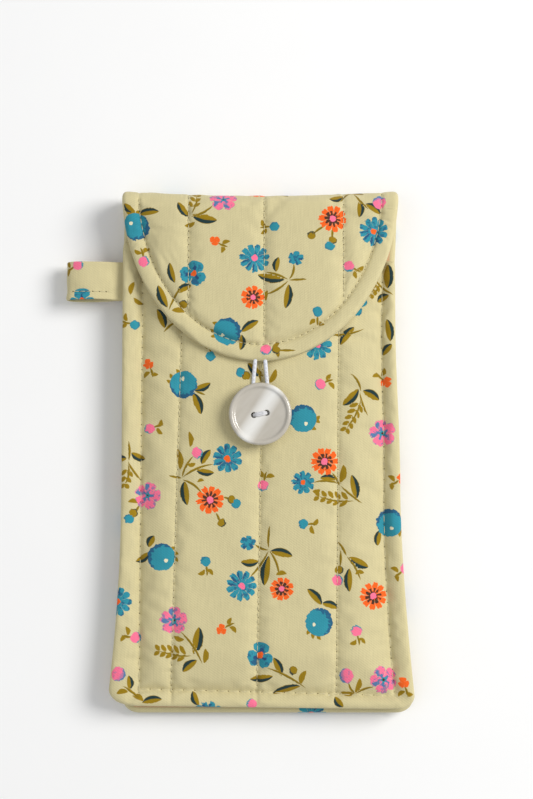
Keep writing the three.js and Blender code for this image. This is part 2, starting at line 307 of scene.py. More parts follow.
class Graph:
    """A material whose nodes are written as expressions."""

    def __init__(self, name, roughness, **settings):
        self.material = bpy.data.materials.new(name)
        self.material.use_nodes = True
        self.tree = self.material.node_tree
        self.shader = self.tree.nodes["Principled BSDF"]
        self.shader.inputs["Roughness"].default_value = roughness
        for key, value in settings.items():
            self.shader.inputs[key.replace("_", " ")].default_value = value

    def put(self, socket, value):
        if isinstance(value, Value):
            self.tree.links.new(value.socket, socket)
        else:
            socket.default_value = value

    def math(self, operation, *values):
        node = self.tree.nodes.new("ShaderNodeMath")
        node.operation = operation
        for socket, value in zip(node.inputs, values):
            self.put(socket, value)
        return Value(self, node.outputs[0])

    def absolute(self, value):
        return self.math("ABSOLUTE", value)

    def limit(self, value):
        node = self.tree.nodes.new("ShaderNodeClamp")
        self.put(node.inputs["Value"], value)
        return Value(self, node.outputs[0])

    def inside(self, distance, soft=0.12):
        """1 where distance is below zero, 0 above, over a narrow soft edge."""
        return self.limit(0.5 - distance / soft)

    def mix(self, factor, a, b):
        node = self.tree.nodes.new("ShaderNodeMix")
        node.data_type = "RGBA"
        self.put(node.inputs["Factor"], factor)
        for socket, value in zip(("A", "B"), (a, b)):
            target = [s for s in node.inputs if s.name == socket and s.type == "RGBA"][0]
            self.put(target, value if isinstance(value, Value) else (*value, 1))
        return Value(self, [s for s in node.outputs if s.type == "RGBA"][0])

    def scaled(self, colour, factor):
        """A colour made lighter or darker by a number."""
        node = self.tree.nodes.new("ShaderNodeVectorMath")
        node.operation = "SCALE"
        self.put(node.inputs[0], colour)
        self.put(node.inputs["Scale"], factor)
        return Value(self, node.outputs[0])

    def uv(self, name):
        node = self.tree.nodes.new("ShaderNodeUVMap")
        node.uv_map = name
        return Value(self, node.outputs[0])

    def position(self):
        node = self.tree.nodes.new("ShaderNodeTexCoord")
        return Value(self, node.outputs["Object"])

    def split(self, vector):
        node = self.tree.nodes.new("ShaderNodeSeparateXYZ")
        self.put(node.inputs[0], vector)
        return [Value(self, output) for output in node.outputs]

    def join(self, x, y, z=0.0):
        node = self.tree.nodes.new("ShaderNodeCombineXYZ")
        for socket, value in zip(node.inputs, (x, y, z)):
            self.put(socket, value)
        return Value(self, node.outputs[0])

    def attribute(self, name, output):
        """A number, colour or vector kept on the mesh's faces."""
        node = self.tree.nodes.new("ShaderNodeAttribute")
        node.attribute_name = name
        return Value(self, node.outputs[output])

    def colour(self, name):
        return self.attribute(name, "Color")

    def numbers(self, name):
        return self.split(self.attribute(name, "Vector"))

    def noise(self, vector, scale, detail=2.0, roughness=0.5):
        node = self.tree.nodes.new("ShaderNodeTexNoise")
        self.put(node.inputs["Vector"], vector)
        node.inputs["Scale"].default_value = scale
        node.inputs["Detail"].default_value = detail
        node.inputs["Roughness"].default_value = roughness
        return Value(self, node.outputs[0])

    def finish(self, colour, height=None, strength=0.3, distance=0.0002):
        self.put(self.shader.inputs["Base Color"], colour)
        if height is not None:
            bump = self.tree.nodes.new("ShaderNodeBump")
            bump.inputs["Strength"].default_value = strength
            bump.inputs["Distance"].default_value = distance
            self.put(bump.inputs["Height"], height)
            self.tree.links.new(bump.outputs[0], self.shader.inputs["Normal"])
        return self.material


def linear(r, g, b):
    """An sRGB colour, 0 to 255, as linear."""
    out = []
    for c in (r, g, b):
        c /= 255
        out.append(c / 12.92 if c < 0.04045 else ((c + 0.055) / 1.055) ** 2.4)
    return tuple(out)


GROUND = linear(207, 196, 151)
OLIVE = linear(152, 122, 12)
OLIVE_DARK = linear(128, 106, 14)
PINE = linear(28, 54, 56)
TEAL = linear(46, 142, 160)
NAVY = linear(34, 76, 118)
ORANGE = linear(244, 100, 28)
PINK = linear(248, 116, 150)
VIOLET = linear(84, 122, 164)
BROWN = linear(76, 48, 34)
PALE = linear(236, 226, 190)
LINING = linear(214, 178, 138)
WADDING = linear(240, 238, 230)
THREAD = linear(214, 205, 165)
WHITE_THREAD = linear(225, 225, 228)
# Painted shade for the needle holes.
NEEDLE_HOLE_SHADE = linear(112, 98, 58)
ELASTIC_WHITE = linear(228, 231, 240)
# Pearl colours: the bright one for the streaks and the painted highlight band, the darker pearl away from
# the band, and a warm tint.
PEARL_STREAK_AND_HIGHLIGHT = linear(240, 240, 237)
PEARL_SHADE = linear(178, 171, 158)
PEARL_WARM = linear(216, 208, 194)
FLOOR = (0.94, 0.94, 0.94)


def weave(graph, cloth):
    """Cloth brightness and height: fine diagonal ribs, slubs along the cloth and faint mottling."""
    x, v, _ = graph.split(cloth)
    ribs = graph.math("SINE", (x * 0.8 + v * 1.15) * 6.2)
    slubs = graph.noise(graph.join(x * 2.6, v * 0.16), 1.0, 2.0)
    cross = graph.noise(graph.join(x * 0.2, v * 2.2), 1.0, 1.0)
    mottle = graph.noise(graph.join(x, v), 0.12, 3.0)
    tone = 0.995 + ribs * 0.036 + (slubs - 0.5) * 0.24
    tone = tone + (cross - 0.5) * 0.07 + (mottle - 0.5) * 0.07
    return tone, ribs * 0.5 + slubs * 1.4 + cross * 0.6


def leaf_layer(graph, ground, rough):
    """Leaves, leaflets and stems: a pointed lens along x, dark along one side.

    A negative width puts the dark side below.
    """
    x, y, _ = graph.split(graph.uv("leaf"))
    length, width, bend = graph.numbers("leaf_form")
    y = y + (rough - 0.5) * 0.35
    t = graph.limit(x / length)
    arch = graph.math("POWER", t * (1 - t) * 4, 0.7)
    y = y - bend * t * (1 - t) * 4
    side = graph.math("SIGN", width)
    half = arch * graph.absolute(width) * (0.42 + rough * 0.16)
    leaf = graph.inside(graph.absolute(y) - half + 0.08, 0.15)
    over = y * side
    dark = graph.inside(half * 0.1 - over, 0.16) * graph.inside(over - half * 0.85, 0.16)
    vein = graph.inside(graph.absolute(y) - half * 0.12, 0.1)
    colour = graph.mix(vein * 0.4, graph.colour("leaf_main"), OLIVE_DARK)
    colour = graph.mix(dark, colour, graph.colour("leaf_dark"))
    return graph.mix(leaf, ground, colour)


def bloom_layer(graph, ground, rough, patches):
    """Flowers, apples and buds: petals round a heart, from each face's own numbers."""
    x, y, _ = graph.split(graph.uv("bloom"))
    x = x + (rough - 0.5) * 1.1
    y = y + (patches - 0.5) * 1.1
    petals, radius, notch = graph.numbers("bloom_petals")
    heart_radius, wedge, shaded = graph.numbers("bloom_heart")
    rim, fringe, gap = graph.numbers("bloom_edge")
    crescent, offset, dot = graph.numbers("bloom_ball")

    r = graph.math("SQRT", x * x + y * y)
    turn = graph.math("ARCTAN2", y, x) * petals * (0.5 / math.pi)
    phase = graph.math("FRACT", turn + 0.5) - 0.5
    across = graph.absolute(phase) * 2
    teeth = graph.absolute(graph.math("SINE", phase * (2 * math.pi)))
    edge = radius * (1 - notch * graph.math("POWER", across, 4.0) - fringe * (1 - teeth))
    edge = edge * (0.9 + rough * 0.2)
    bloom = graph.inside(r - edge)
    slit = r * math.pi * (1 - across) / petals - gap
    slit = graph.inside(slit) * graph.inside(radius * 0.36 - r, 0.4) * graph.inside(0.01 - gap, 0.01)

    main, shade, heart = [graph.colour(n) for n in ("bloom_main", "bloom_shade", "bloom_centre")]
    lee = graph.inside(x * 0.7 - y * 0.7 + radius * 0.3, radius * 0.3)
    stroke = graph.inside(0.1 - phase, 0.08) * graph.inside(r - edge * 0.9, 0.2)
    patch = graph.inside(0.57 - patches, 0.05)
    side = graph.limit(stroke * lee + patch * 0.7) * shaded
    colour = graph.mix(side, main, shade)
    colour = graph.mix(graph.inside(edge - r - rim, 0.2), colour, shade)
    halfwidth = patches * 1.35 - 0.24
    spoke = graph.inside(graph.absolute(phase) * r * (2 * math.pi) / petals - halfwidth, 0.2)
    spoke = spoke * graph.inside(r - heart_radius - wedge - rough * 0.5, 0.1)
    spoke = spoke * graph.inside(0.2 - wedge, 0.1)
    colour = graph.mix(spoke, colour, graph.colour("bloom_spoke"))

    across_x = x - radius * 0.2
    across_y = y + radius * 0.2
    away = graph.math("SQRT", across_x * across_x + across_y * across_y) - radius * 0.94
    ragged = graph.inside(0.6 * radius * (rough - 0.42) - away, 0.4)
    colour = graph.mix(ragged * crescent, colour, shade)

    heart_x = x - offset * radius
    heart_y = y + offset * radius
    to_heart = graph.math("SQRT", heart_x * heart_x + heart_y * heart_y)
    uneven = heart_radius * (0.6 + patches * 0.8)
    colour = graph.mix(graph.inside(to_heart - uneven), colour, heart)
    colour = graph.mix(graph.inside(to_heart - dot), colour, BROWN)
    shown = bloom * (1 - slit)
    return graph.mix(shown, ground, colour)


def printed_cotton(name):
    graph = Graph(name, 0.88, Sheen_Weight=0.15, Sheen_Roughness=0.5, Specular_IOR_Level=0.25)
    cloth = graph.uv("print")
    tone, height = weave(graph, cloth)
    rough = graph.noise(cloth, 0.9, 2.0)
    x, v, _ = graph.split(cloth)
    patches = graph.noise(graph.join(x + 300, v * 0.9, 7.0), 0.8, 2.0)
    colour = leaf_layer(graph, GROUND, rough)
    colour = bloom_layer(graph, colour, rough, patches)
    return graph.finish(graph.scaled(colour, tone), height, 0.25, 0.00012)


def plain_cotton(name, base):
    graph = Graph(name, 0.9, Sheen_Weight=0.2, Sheen_Roughness=0.5, Specular_IOR_Level=0.2)
    tone, height = weave(graph, graph.uv("cloth"))
    return graph.finish(graph.scaled(base, tone), height, 0.3, 0.00012)


def sewing_thread(name, base):
    """Twisted thread: diagonal plies in object space, too fine to need UVs. Holes are dark, as painted
    shade.
    """
    graph = Graph(name, 0.75, Sheen_Weight=0.2, Specular_IOR_Level=0.3)
    x, y, z = graph.split(graph.position())
    plies = graph.math("SINE", (x + y * 1.3 + z * 0.7) * 14000)
    fuzz = graph.noise(graph.position(), 2500, 2.0)
    tone = 0.96 + plies * 0.06 + (fuzz - 0.5) * 0.2
    # Faces marked 'hole' are the beads in the needle holes, given a dark colour as painted shade.
    colour = graph.mix(graph.attribute("hole", "Fac"), base, NEEDLE_HOLE_SHADE)
    return graph.finish(graph.scaled(colour, tone), plies, 0.3, 0.00005)


def wadding_material(name):
    graph = Graph(name, 0.95, Specular_IOR_Level=0.1)
    fibres = graph.noise(graph.position(), 900, 4.0, 0.7)
    return graph.finish(graph.scaled(WADDING, 0.9 + fibres * 0.15), fibres, 0.5, 0.0004)


def elastic_material(name):
    """White knitted elastic: crossing ribs in the tube's own UVs."""
    graph = Graph(name, 0.6, Sheen_Weight=0.2, Specular_IOR_Level=0.4)
    around, along, _ = graph.split(graph.uv("cloth"))
    left = graph.math("SINE", along * 8.5 + around * 2)
    right = graph.math("SINE", along * 8.5 - around * 2)
    knit = graph.math("MAXIMUM", left, right)
    return graph.finish(graph.scaled(ELASTIC_WHITE, 0.9 + knit * 0.1), knit, 0.5, 0.0001)


def pearl_material(name):
    """Pearly plastic: fine streaks, and one bright band across the button's middle, a painted highlight."""
    graph = Graph(name, 0.24, Coat_Weight=0.6, Coat_Roughness=0.12, Specular_IOR_Level=0.55)
    x, y, z = graph.split(graph.position())
    streaks = graph.noise(graph.join((x + y) * 60, (x - y) * 260, z * 60), 1.0, 3.0, 0.6)
    cloud = graph.noise(graph.position(), 160, 2.0)
    # A painted highlight: one bright band across the button's middle, fixed in object space.
    painted_highlight_band = graph.limit(graph.math("COSINE", (x * 0.84 + (y - BUTTON_Y * MM) * -0.54) * 420))
    colour = graph.mix(graph.limit(streaks * 0.3 + painted_highlight_band * 0.75 - 0.05), PEARL_SHADE, PEARL_STREAK_AND_HIGHLIGHT)
    colour = graph.mix(cloud * 0.25, colour, PEARL_WARM)
    return graph.finish(colour, streaks, 0.05, 0.0002)


def floor_material(name):
    graph = Graph(name, 0.9, Specular_IOR_Level=0.1)
    grain = graph.noise(graph.position(), 30, 3.0)
    return graph.finish(graph.scaled(FLOOR, 0.99 + grain * 0.02))


# ---- The print: what grows where, in mm of cloth

# kind: (petals, radius, notch), (heart radius, spoke length, shading), (rim, fringe, gap),
# (crescent, heart offset, dot), main, shade, centre, spoke
BLOOMS = {
    "orange_daisy": (
        (10, 4.9, 0.34), (1.15, 1.5, 0), (0, 0.06, 0.04), (0, 0, 0), ORANGE, ORANGE, PINK, BROWN
    ),
    "orange_small": (
        (9, 4.2, 0.34), (0.95, 1.3, 0), (0, 0.06, 0.04), (0, 0, 0), ORANGE, ORANGE, PINK, BROWN
    ),
    "blue_daisy": ((10, 5.1, 0.36), (1.1, 0, 0.9), (0, 0, 0.02), (0, 0, 0), TEAL, NAVY, ORANGE, NAVY),
    "blue_daisy_pink": ((11, 5.3, 0.4), (1.1, 0, 0.9), (0, 0, 0.02), (0, 0, 0), TEAL, NAVY, PINK, NAVY),
    "blue_daisy_small": ((9, 4.0, 0.36), (0.9, 0, 0.9), (0, 0, 0), (0, 0, 0), TEAL, NAVY, ORANGE, NAVY),
    "pink_blossom": (
        (5, 4.8, 0.3), (0.95, 1.0, 1), (0.05, 0.04, 0.05), (0, 0, 0.4), PINK, VIOLET, TEAL, VIOLET
    ),
    "blue_trefoil": ((3, 4.7, 0.42), (1.1, 1.3, 0.8), (0, 0.03, 0.14), (0, 0, 0), TEAL, NAVY, ORANGE, NAVY),
    "cornflower": ((5, 2.7, 0.36), (0.1, 0, 0.9), (0, 0.04, 0), (0, 0, 0), TEAL, NAVY, TEAL, NAVY),
    "apple": ((1, 4.8, 0), (0.62, 0, 0), (0, 0, 0), (0.8, 0.3, 0), TEAL, NAVY, PALE, NAVY),
    "pink_bud": ((1, 1.9, 0), (0.1, 0, 0), (0, 0, 0), (1, 0, 0), PINK, TEAL, PINK, TEAL),
    "pink_tulip": ((1, 2.5, 0), (0.1, 0, 0.5), (0, 0, 0), (1, 0, 0), PINK, VIOLET, PINK, TEAL),
    "blue_bud": ((1, 1.7, 0), (0.1, 0, 0), (0, 0, 0), (0.4, 0, 0), TEAL, NAVY, TEAL, NAVY),
    "dark_bud": ((1, 1.5, 0), (0.1, 0, 0), (0, 0, 0), (0.9, 0, 0), OLIVE, PINE, OLIVE, PINE),
    "tulip": ((3, 1.9, 0.36), (0.1, 0, 0), (0, 0.04, 0.02), (0, 0, 0), ORANGE, ORANGE, ORANGE, ORANGE),
}

FLAP_BLOOMS = [
    ("apple", -44, 79, 100),
    ("pink_blossom", -13, 89, 20),
    ("blue_trefoil", -23.5, 62, 70),
    ("blue_daisy_pink", -2, 67.5, 10),
    ("orange_small", -2.5, 53.5, 0),
    ("cornflower", 12.5, 67.5, 80),
    ("orange_daisy", 25.5, 82, 30),
    ("dark_bud", 18, 76, 240),
    ("dark_bud", 25.5, 74, 60),
    ("blue_bud", 24.5, 72, 0),
    ("blue_daisy", 40, 77.5, 15),
    ("pink_tulip", 42, 87.5, 240),
    ("apple", -11.5, 41.5, 172),
    ("dark_bud", -27, 51, 200),
    ("dark_bud", 5.5, 35, 0),
]

FRONT_PRINT_END = 56  # the back has the front's motifs up to here, and the flap's above

# On the strip at the fold, as places in the cloth that the back and the flap share
SPINE_BLOOMS = [
    ("apple", -31, MID_SPINE - 2, 200),
    ("orange_small", -1, MID_SPINE + 1, 20),
    ("blue_daisy_small", 12, MID_SPINE - 4.5, 0),
    ("pink_tulip", 27.5, MID_SPINE + 1.5, 300),
]
SPINE_LEAVES = [
    ("leaf", -25.5, MID_SPINE - 1, 20, 6, 2.8),
    ("leaf", -26, MID_SPINE - 4, 330, 5, 2.4),
    ("stem", 3.5, MID_SPINE, 340, 8, 0.6),
    ("leaf", 5, MID_SPINE + 1.5, 35, 6, 2.8),
    ("leaf", 30, MID_SPINE, 325, 6, 2.6),
    ("leaf", 30.5, MID_SPINE + 3, 20, 6.5, 2.8),
]

FRONT_BLOOMS = [
    ("apple", -27, 23, 140),
    ("dark_bud", -5, 26, 0),
    ("blue_bud", -7, 27.2, 0),
    ("blue_daisy_pink", 20, 37, 5),
    ("blue_trefoil", 33, 52, 30),
    ("pink_blossom", 43, 6, 30),
    ("apple", 15, 11, 345),
    ("pink_bud", -22, -1, 200),
    ("blue_daisy", -11.5, -3, 20),
    ("orange_daisy", -17.5, -17.5, 10),
    ("dark_bud", -10, -17.5, 90),
    ("blue_bud", -8.5, -18.8, 90),
    ("dark_bud", -13.5, -25.5, 200),
    ("pink_blossom", -39.5, -16, 0),
    ("dark_bud", -44.5, -22, 250),
    ("blue_bud", -46, -24, 0),
    ("orange_daisy", 22.5, -4, 0),
    ("blue_daisy_small", 15, -11.5, 15),
    ("apple", 45.5, -25.5, 330),
    ("apple", -34.5, -37.5, 10),
    ("cornflower", -4.5, -32.5, 150),
    ("blue_daisy_pink", -6.5, -47.5, 0),
    ("orange_small", 7.5, -48.5, 20),
    ("dark_bud", 27.5, -42, 200),
    ("pink_bud", 27, -45.5, 240),
    ("orange_daisy", 39.5, -51, 10),
    ("apple", 20.5, -60, 250),
    ("blue_daisy", -50, -53, 0),
    ("pink_blossom", -30, -59.5, 15),
    ("pink_tulip", -49.5, -78, 200),
    ("blue_trefoil", 0, -71.5, 80),
    ("dark_bud", 11.5, -76.5, 90),
    ("pink_tulip", 30, -78.5, 60),
    ("pink_blossom", 43, -80, 40),
    ("blue_daisy", -18, -92.5, 0),
    ("pink_bud", -3, -88.5, 30),
]

# A sprout is a bud on a short stem with two leaflets: kind, x, y, direction of the stem.
FLAP_SPROUTS = [
    ("tulip", -16, 74, 330),
    ("pink_bud", -41, 66.5, 100),
    ("blue_bud", 5, 79.5, 180),
    ("pink_bud", 31, 64.5, 335),
    ("blue_bud", 20, 48.5, 270),
    ("pink_bud", 2, 35, 0),
]

FRONT_SPROUTS = [
    ("tulip", -39.5, 30.5, 285),
    ("blue_bud", -44.5, 44.5, 160),
    ("blue_bud", -17.5, 33, 85),
    ("pink_bud", -39, 7.5, 10),
    ("pink_bud", 21, 23, 15),
    ("tulip", 44.5, 24, 130),
    ("pink_bud", 1, -12.5, 70),
    ("blue_bud", 15, -26, 350),
    ("blue_bud", -19, -39, 270),
    ("tulip", -13.5, -62.5, 20),
    ("pink_bud", 33.5, -63, 275),
    ("pink_bud", -43.5, -65.5, 165),
    ("tulip", 50, -81, 280),
    ("tulip", 50, -10, 200),
    ("pink_bud", 51, -41.5, 210),
]

# leaf: base x and y, direction in degrees, length, width. fern: the same, with leaflet pairs.
# stem: the last number is how far it bows.
FLAP_LEAVES = [
    ("leaf", -44, 83.5, 140, 5.5, 3),
    ("leaf", -43, 83.5, 8, 7.5, 2.7),
    ("stem", -16.5, 87, 208, 9, -0.8),
    ("leaf", -25, 83, 128, 6.5, 2.8),
    ("leaf", -24, 83.5, 348, 9, 3.6),
    ("leaf", -23, 81, 200, 4, 1.8),
    ("fern", -24, 84, 80, 8, 4.5),
    ("stem", -26, 58.5, 238, 11.5, 0.8),
    ("leaf", -30, 58.5, 104, 7.5, 2.7),
    ("leaf", -29, 55, 30, 5.5, 2.8),
    ("leaf", -32.5, 50, 113, 8.5, 3.2),
    ("leaf", -31, 49, 350, 4.5, 2),
    ("stem", 10, 59.5, 160, 9, 0.5),
    ("stem", 10, 59.5, 210, 10, -0.8),
    ("stem", 10, 59.5, 75, 6.5, 0.8),
    ("stem", 10, 59.5, 3, 6.5, 0),
    ("leaf", 9, 60, 172, 10, 3.4),
    ("leaf", 10, 58, 262, 8.5, 3.2),
    ("leaf", 5.5, 62.5, 80, 5.5, 2.7),
    ("leaf", 2.5, 56, 262, 3.8, 1.8),
    ("stem", 23, 79.5, 215, 5.5, 0.3),
    ("stem", 25.5, 79, 268, 5, 0),
    ("leaf", 30, 90, 195, 6, 3),
    ("stem", 33, 92, 230, 7.5, 0.5),
    ("leaf", 35, 88, 268, 6, 2.8),
    ("leaf", 37, 87, 327, 6.5, 2.8),
    ("stem", 33, 91, 305, 9, 0.6),
    ("leaf", -6.5, 41.5, 32, 7, 2.9),
    ("leaf", -6.5, 40.5, 265, 5.5, 2.6),
    ("stem", 5.5, 35, 0, 7, 0.2),
]

FRONT_LEAVES = [
    ("leaf", -46, 55, 75, 5, 2),
    ("leaf", -45, 54, 330, 4, 1.8),
    ("leaf", -33.5, 43, 113, 7.5, 3.2),
    ("stem", -34, 41.5, 40, 6, 0.4),
    ("leaf", -23.5, 21, 22, 6.5, 2.9),
    ("leaf", -23.5, 20, 290, 8, 3.3),
    ("stem", -23, 20.5, 340, 4, 0.2),
    ("leaf", 1, 26, 140, 7, 3.2),
    ("leaf", 3, 23.5, 62, 5.5, 2.2),
    ("stem", -2, 30, 290, 7, 0.4),
    ("stem", 22, 41, 8, 15, -1.2),
    ("leaf", 27, 42.5, 195, 6, 2.6),
    ("leaf", 33, 43.5, 233, 8, 3.2),
    ("leaf", 29.5, 44, 130, 4.5, 1.9),
    ("stem", 40, 61.5, 318, 10, -0.6),
    ("leaf", 45, 57.5, 88, 8.5, 3.8),
    ("leaf", 45.5, 55, 210, 4.8, 2.9),
    ("fern", 42.5, 60, 235, 6, 3.6),
    ("leaf", 46, 38.5, 97, 8, 3.2),
    ("leaf", 46.5, 37.5, 230, 5, 2.8),
    ("stem", 31.5, 27, 300, 7.5, 1.0),
    ("stem", 35, 20.5, 288, 9, -0.5),
    ("leaf", 34.5, 21.5, 226, 8, 3.3),
    ("leaf", 36, 21, 332, 6.8, 3.2),
    ("fern", 35.5, 18.5, 244, 12.5, 4.8),
    ("stem", -46.5, 3.5, 272, 7.5, 0.3),
    ("stem", -46.5, -4, 305, 8, -0.5),
    ("leaf", -45.5, -1, 338, 5.5, 2.8),
    ("leaf", -47, -3, 190, 4, 2.6),
    ("fern", -46.5, -4.5, 262, 8, 4.5),
    ("stem", -42.5, -19, 240, 4.5, 0.2),
    ("leaf", -43, -18.5, 175, 3.5, 1.7),
    ("stem", -27.5, -10, 167, 4.6, 0),
    ("stem", -27.5, -10, 62, 9, 0.6),
    ("stem", -27.5, -10, 24, 12.5, 0.9),
    ("stem", -27.5, -10.5, 325, 9, 0.9),
    ("leaf", -28, -7, 98, 7.5, 2.4),
    ("leaf", -24.5, 1, 95, 5.5, 2),
    ("leaf", -25.5, -5, 5, 3, 1.8),
    ("leaf", -20.5, -5, 58, 6, 2.9),
    ("leaf", -22.5, -7, 350, 6.5, 2.7),
    ("leaf", -26.5, -11, 277, 8.5, 3.4),
    ("leaf", -22, -11.5, 15, 2.6, 1.3),
    ("stem", -13, -16.5, 335, 4, 0.2),
    ("stem", -15.5, -22, 295, 3.5, 0.1),
    ("stem", 18.5, -11.5, 357, 10, 0.8),
    ("stem", 28, -12.5, 320, 10, -0.3),
    ("stem", 25, -8, 300, 5.5, 0.4),
    ("leaf", 27, -10.5, 175, 6, 2.7),
    ("leaf", 28, -11.5, 80, 6.5, 2.4),
    ("leaf", 33.5, -17.5, 100, 9, 3.3),
    ("leaf", 21, -14, 190, 2.8, 1.8),
    ("fern", 33, -18, 172, 13, 5),
    ("leaf", 42, -28, 262, 5.5, 2.9),
    ("stem", 42, -27, 40, 3, 0),
    ("leaf", -38.5, -36, 210, 6, 2.8),
    ("leaf", -39, -34, 65, 4.6, 3),
    ("stem", 3, -34.5, 88, 8, 0.3),
    ("stem", 3, -35, 158, 5.5, 0.5),
    ("stem", 3, -35, 235, 12, 0.6),
    ("stem", 3, -35, 292, 10, 0.8),
    ("leaf", 3.5, -35.5, 348, 8, 3.2),
    ("leaf", 3, -37, 261, 10.5, 3.6),
    ("leaf", -0.5, -39, 182, 6.2, 3),
    ("leaf", 5.5, -43.5, 5, 3.8, 1.8),
    ("stem", 27, -32, 300, 6, 0.4),
    ("stem", 30, -37, 300, 10, 0.5),
    ("stem", 28, -35, 268, 6, 0.2),
    ("leaf", 31, -37.5, 332, 7.5, 3.6),
    ("leaf", 31, -41.5, 270, 8, 3.1),
    ("leaf", 33, -43.5, 10, 3.2, 1.8),
    ("leaf", 21.5, -54, 133, 7.5, 3.1),
    ("leaf", 21.5, -53.5, 343, 6, 2.8),
    ("stem", -28, -63, 305, 14, 0.8),
    ("leaf", -23, -71, 79, 9.5, 3.9),
    ("leaf", -19.5, -74, 85, 5, 2.2),
    ("leaf", -22, -73, 220, 6.3, 3.1),
    ("leaf", -26.5, -66, 163, 3.8, 1.9),
    ("fern", -23.5, -71.5, 172, 12, 5.2),
    ("stem", -48, -82, 322, 9, 0.4),
    ("leaf", -45.5, -83.5, 95, 5, 2.6),
    ("leaf", -46, -84, 190, 4, 1.9),
    ("leaf", -40.5, -87.5, 150, 4.5, 2),
    ("leaf", -41, -88, 10, 7, 2.7),
    ("leaf", -23.5, -84, 293, 5.5, 2.8),
    ("stem", 2, -75.5, 332, 16, 0.8),
    ("leaf", 7.5, -78.5, 114, 7, 2.9),
    ("leaf", 4.5, -78.5, 188, 8.2, 2.8),
    ("leaf", 14, -82, 197, 10, 2.8),
    ("leaf", 14, -81.5, 69, 5.3, 2.2),
    ("stem", 33, -85, 118, 5, 0.3),
    ("stem", 33, -85, 22, 7, 0.5),
    ("leaf", 33, -84.5, 178, 5, 2),
    ("leaf", 33, -84.5, 72, 5.5, 2.2),
    ("leaf", 26, -86, 310, 4.5, 2.8),
]

# On the tab, across its length from the seam and its width.
TAB_BLOOMS = [("orange_daisy", 17, 1, 20), ("blue_trefoil", 37.5, -7.5, 90)]
TAB_SPROUTS = [("pink_bud", 36, 5.6, 200)]
TAB_LEAVES = [("leaf", 23, -3, 200, 6, 2.8)]


def with_sprouts(blooms, leaves, sprouts):
    """The blooms and leaves with the sprouts' buds, stems and leaflets and the apples' crowns."""
    blooms, leaves = list(blooms), list(leaves)
    for kind, x, y, degrees in blooms:
        for turn in (-18, 0, 18) if kind == "apple" else ():
            a = math.radians(degrees + turn)
            base = (x + 3.8 * math.cos(a), y + 3.8 * math.sin(a))
            leaves.append(("leaf", *base, degrees + 2 * turn, 2.4, 1.5))
    for kind, x, y, degrees in sprouts:
        blooms.append((kind, x, y, degrees + 60))
        c, s = math.cos(math.radians(degrees)), math.sin(math.radians(degrees))
        leaves.append(("stem", x + 1.2 * c, y + 1.2 * s, degrees + 6, 4.0, 0.3))
        for turn in (-62, 55):
            leaves.append(("leaf", x + 2.9 * c, y + 2.9 * s, degrees + turn, 3.2, 1.7))
    return blooms, leaves


def leaf_stamps(entries):
    """Every leaf, leaflet and stem as (x, y, angle, length, width, bend, main, dark)."""
    stamps = []
    for kind, x, y, degrees, length, width in entries:
        angle = math.radians(degrees)
        if kind == "leaf":
            side = 1 if round(10 * x + length) % 2 else -1
            dark = PINE if width > 2.5 else OLIVE
            stamps.append((x, y, angle, length, width * side, 0.5 * side, OLIVE, dark))
        elif kind == "stem":
            stamps.append((x, y, angle, length, 1.0, width, OLIVE_DARK, OLIVE))
        else:
            stamps.append((x, y, angle, length, 0.9, 0.8, OLIVE_DARK, OLIVE))
            pairs = max(3, round(length / 2.4))
            for k in range(1, pairs + 1):
                along = length * k / (pairs + 0.2)
                px = x + along * math.cos(angle)
                py = y + along * math.sin(angle)
                for side in (-1, 1):
                    leaflet = width * (0.8 - 0.3 * k / pairs)
                    turn = angle + side * math.radians(46)
                    stamps.append((px, py, turn, leaflet, 1.7, 0, OLIVE, OLIVE))
    return stamps


def face_attribute(mesh, name, kind, values):
    attribute = mesh.attributes.new(name, kind, "FACE")
    key = "color" if kind == "FLOAT_COLOR" else "vector"
    attribute.data.foreach_set(key, np.ascontiguousarray(values, np.float32).ravel())


def corner_uv(mesh, name, values):
    layer = mesh.uv_layers.new(name=name)
    layer.data.foreach_set("uv", np.ascontiguousarray(values, np.float32).ravel())


def read_uv(mesh, name):
    out = np.empty(2 * len(mesh.loops), np.float32)
    mesh.uv_layers[name].data.foreach_get("uv", out)
    return out.reshape(-1, 2)


def local(points, x, y, angle):
    """points relative to (x, y), turned so that angle lies along +x."""
    c, s = math.cos(angle), math.sin(angle)
    dx, dy = points[:, 0] - x, points[:, 1] - y
    return np.stack([dx * c + dy * s, dy * c - dx * s], axis=1)


def nearest_stamp(centres, distances):
    """For each face the stamp with the smallest distance, which is 1 on a stamp's own outline."""
    best = np.full(len(centres), 1e9)
    chosen = np.zeros(len(centres), int)
    for k, distance in enumerate(distances):
        nearer = distance < best
        best[nearer] = distance[nearer]
        chosen[nearer] = k
    return chosen


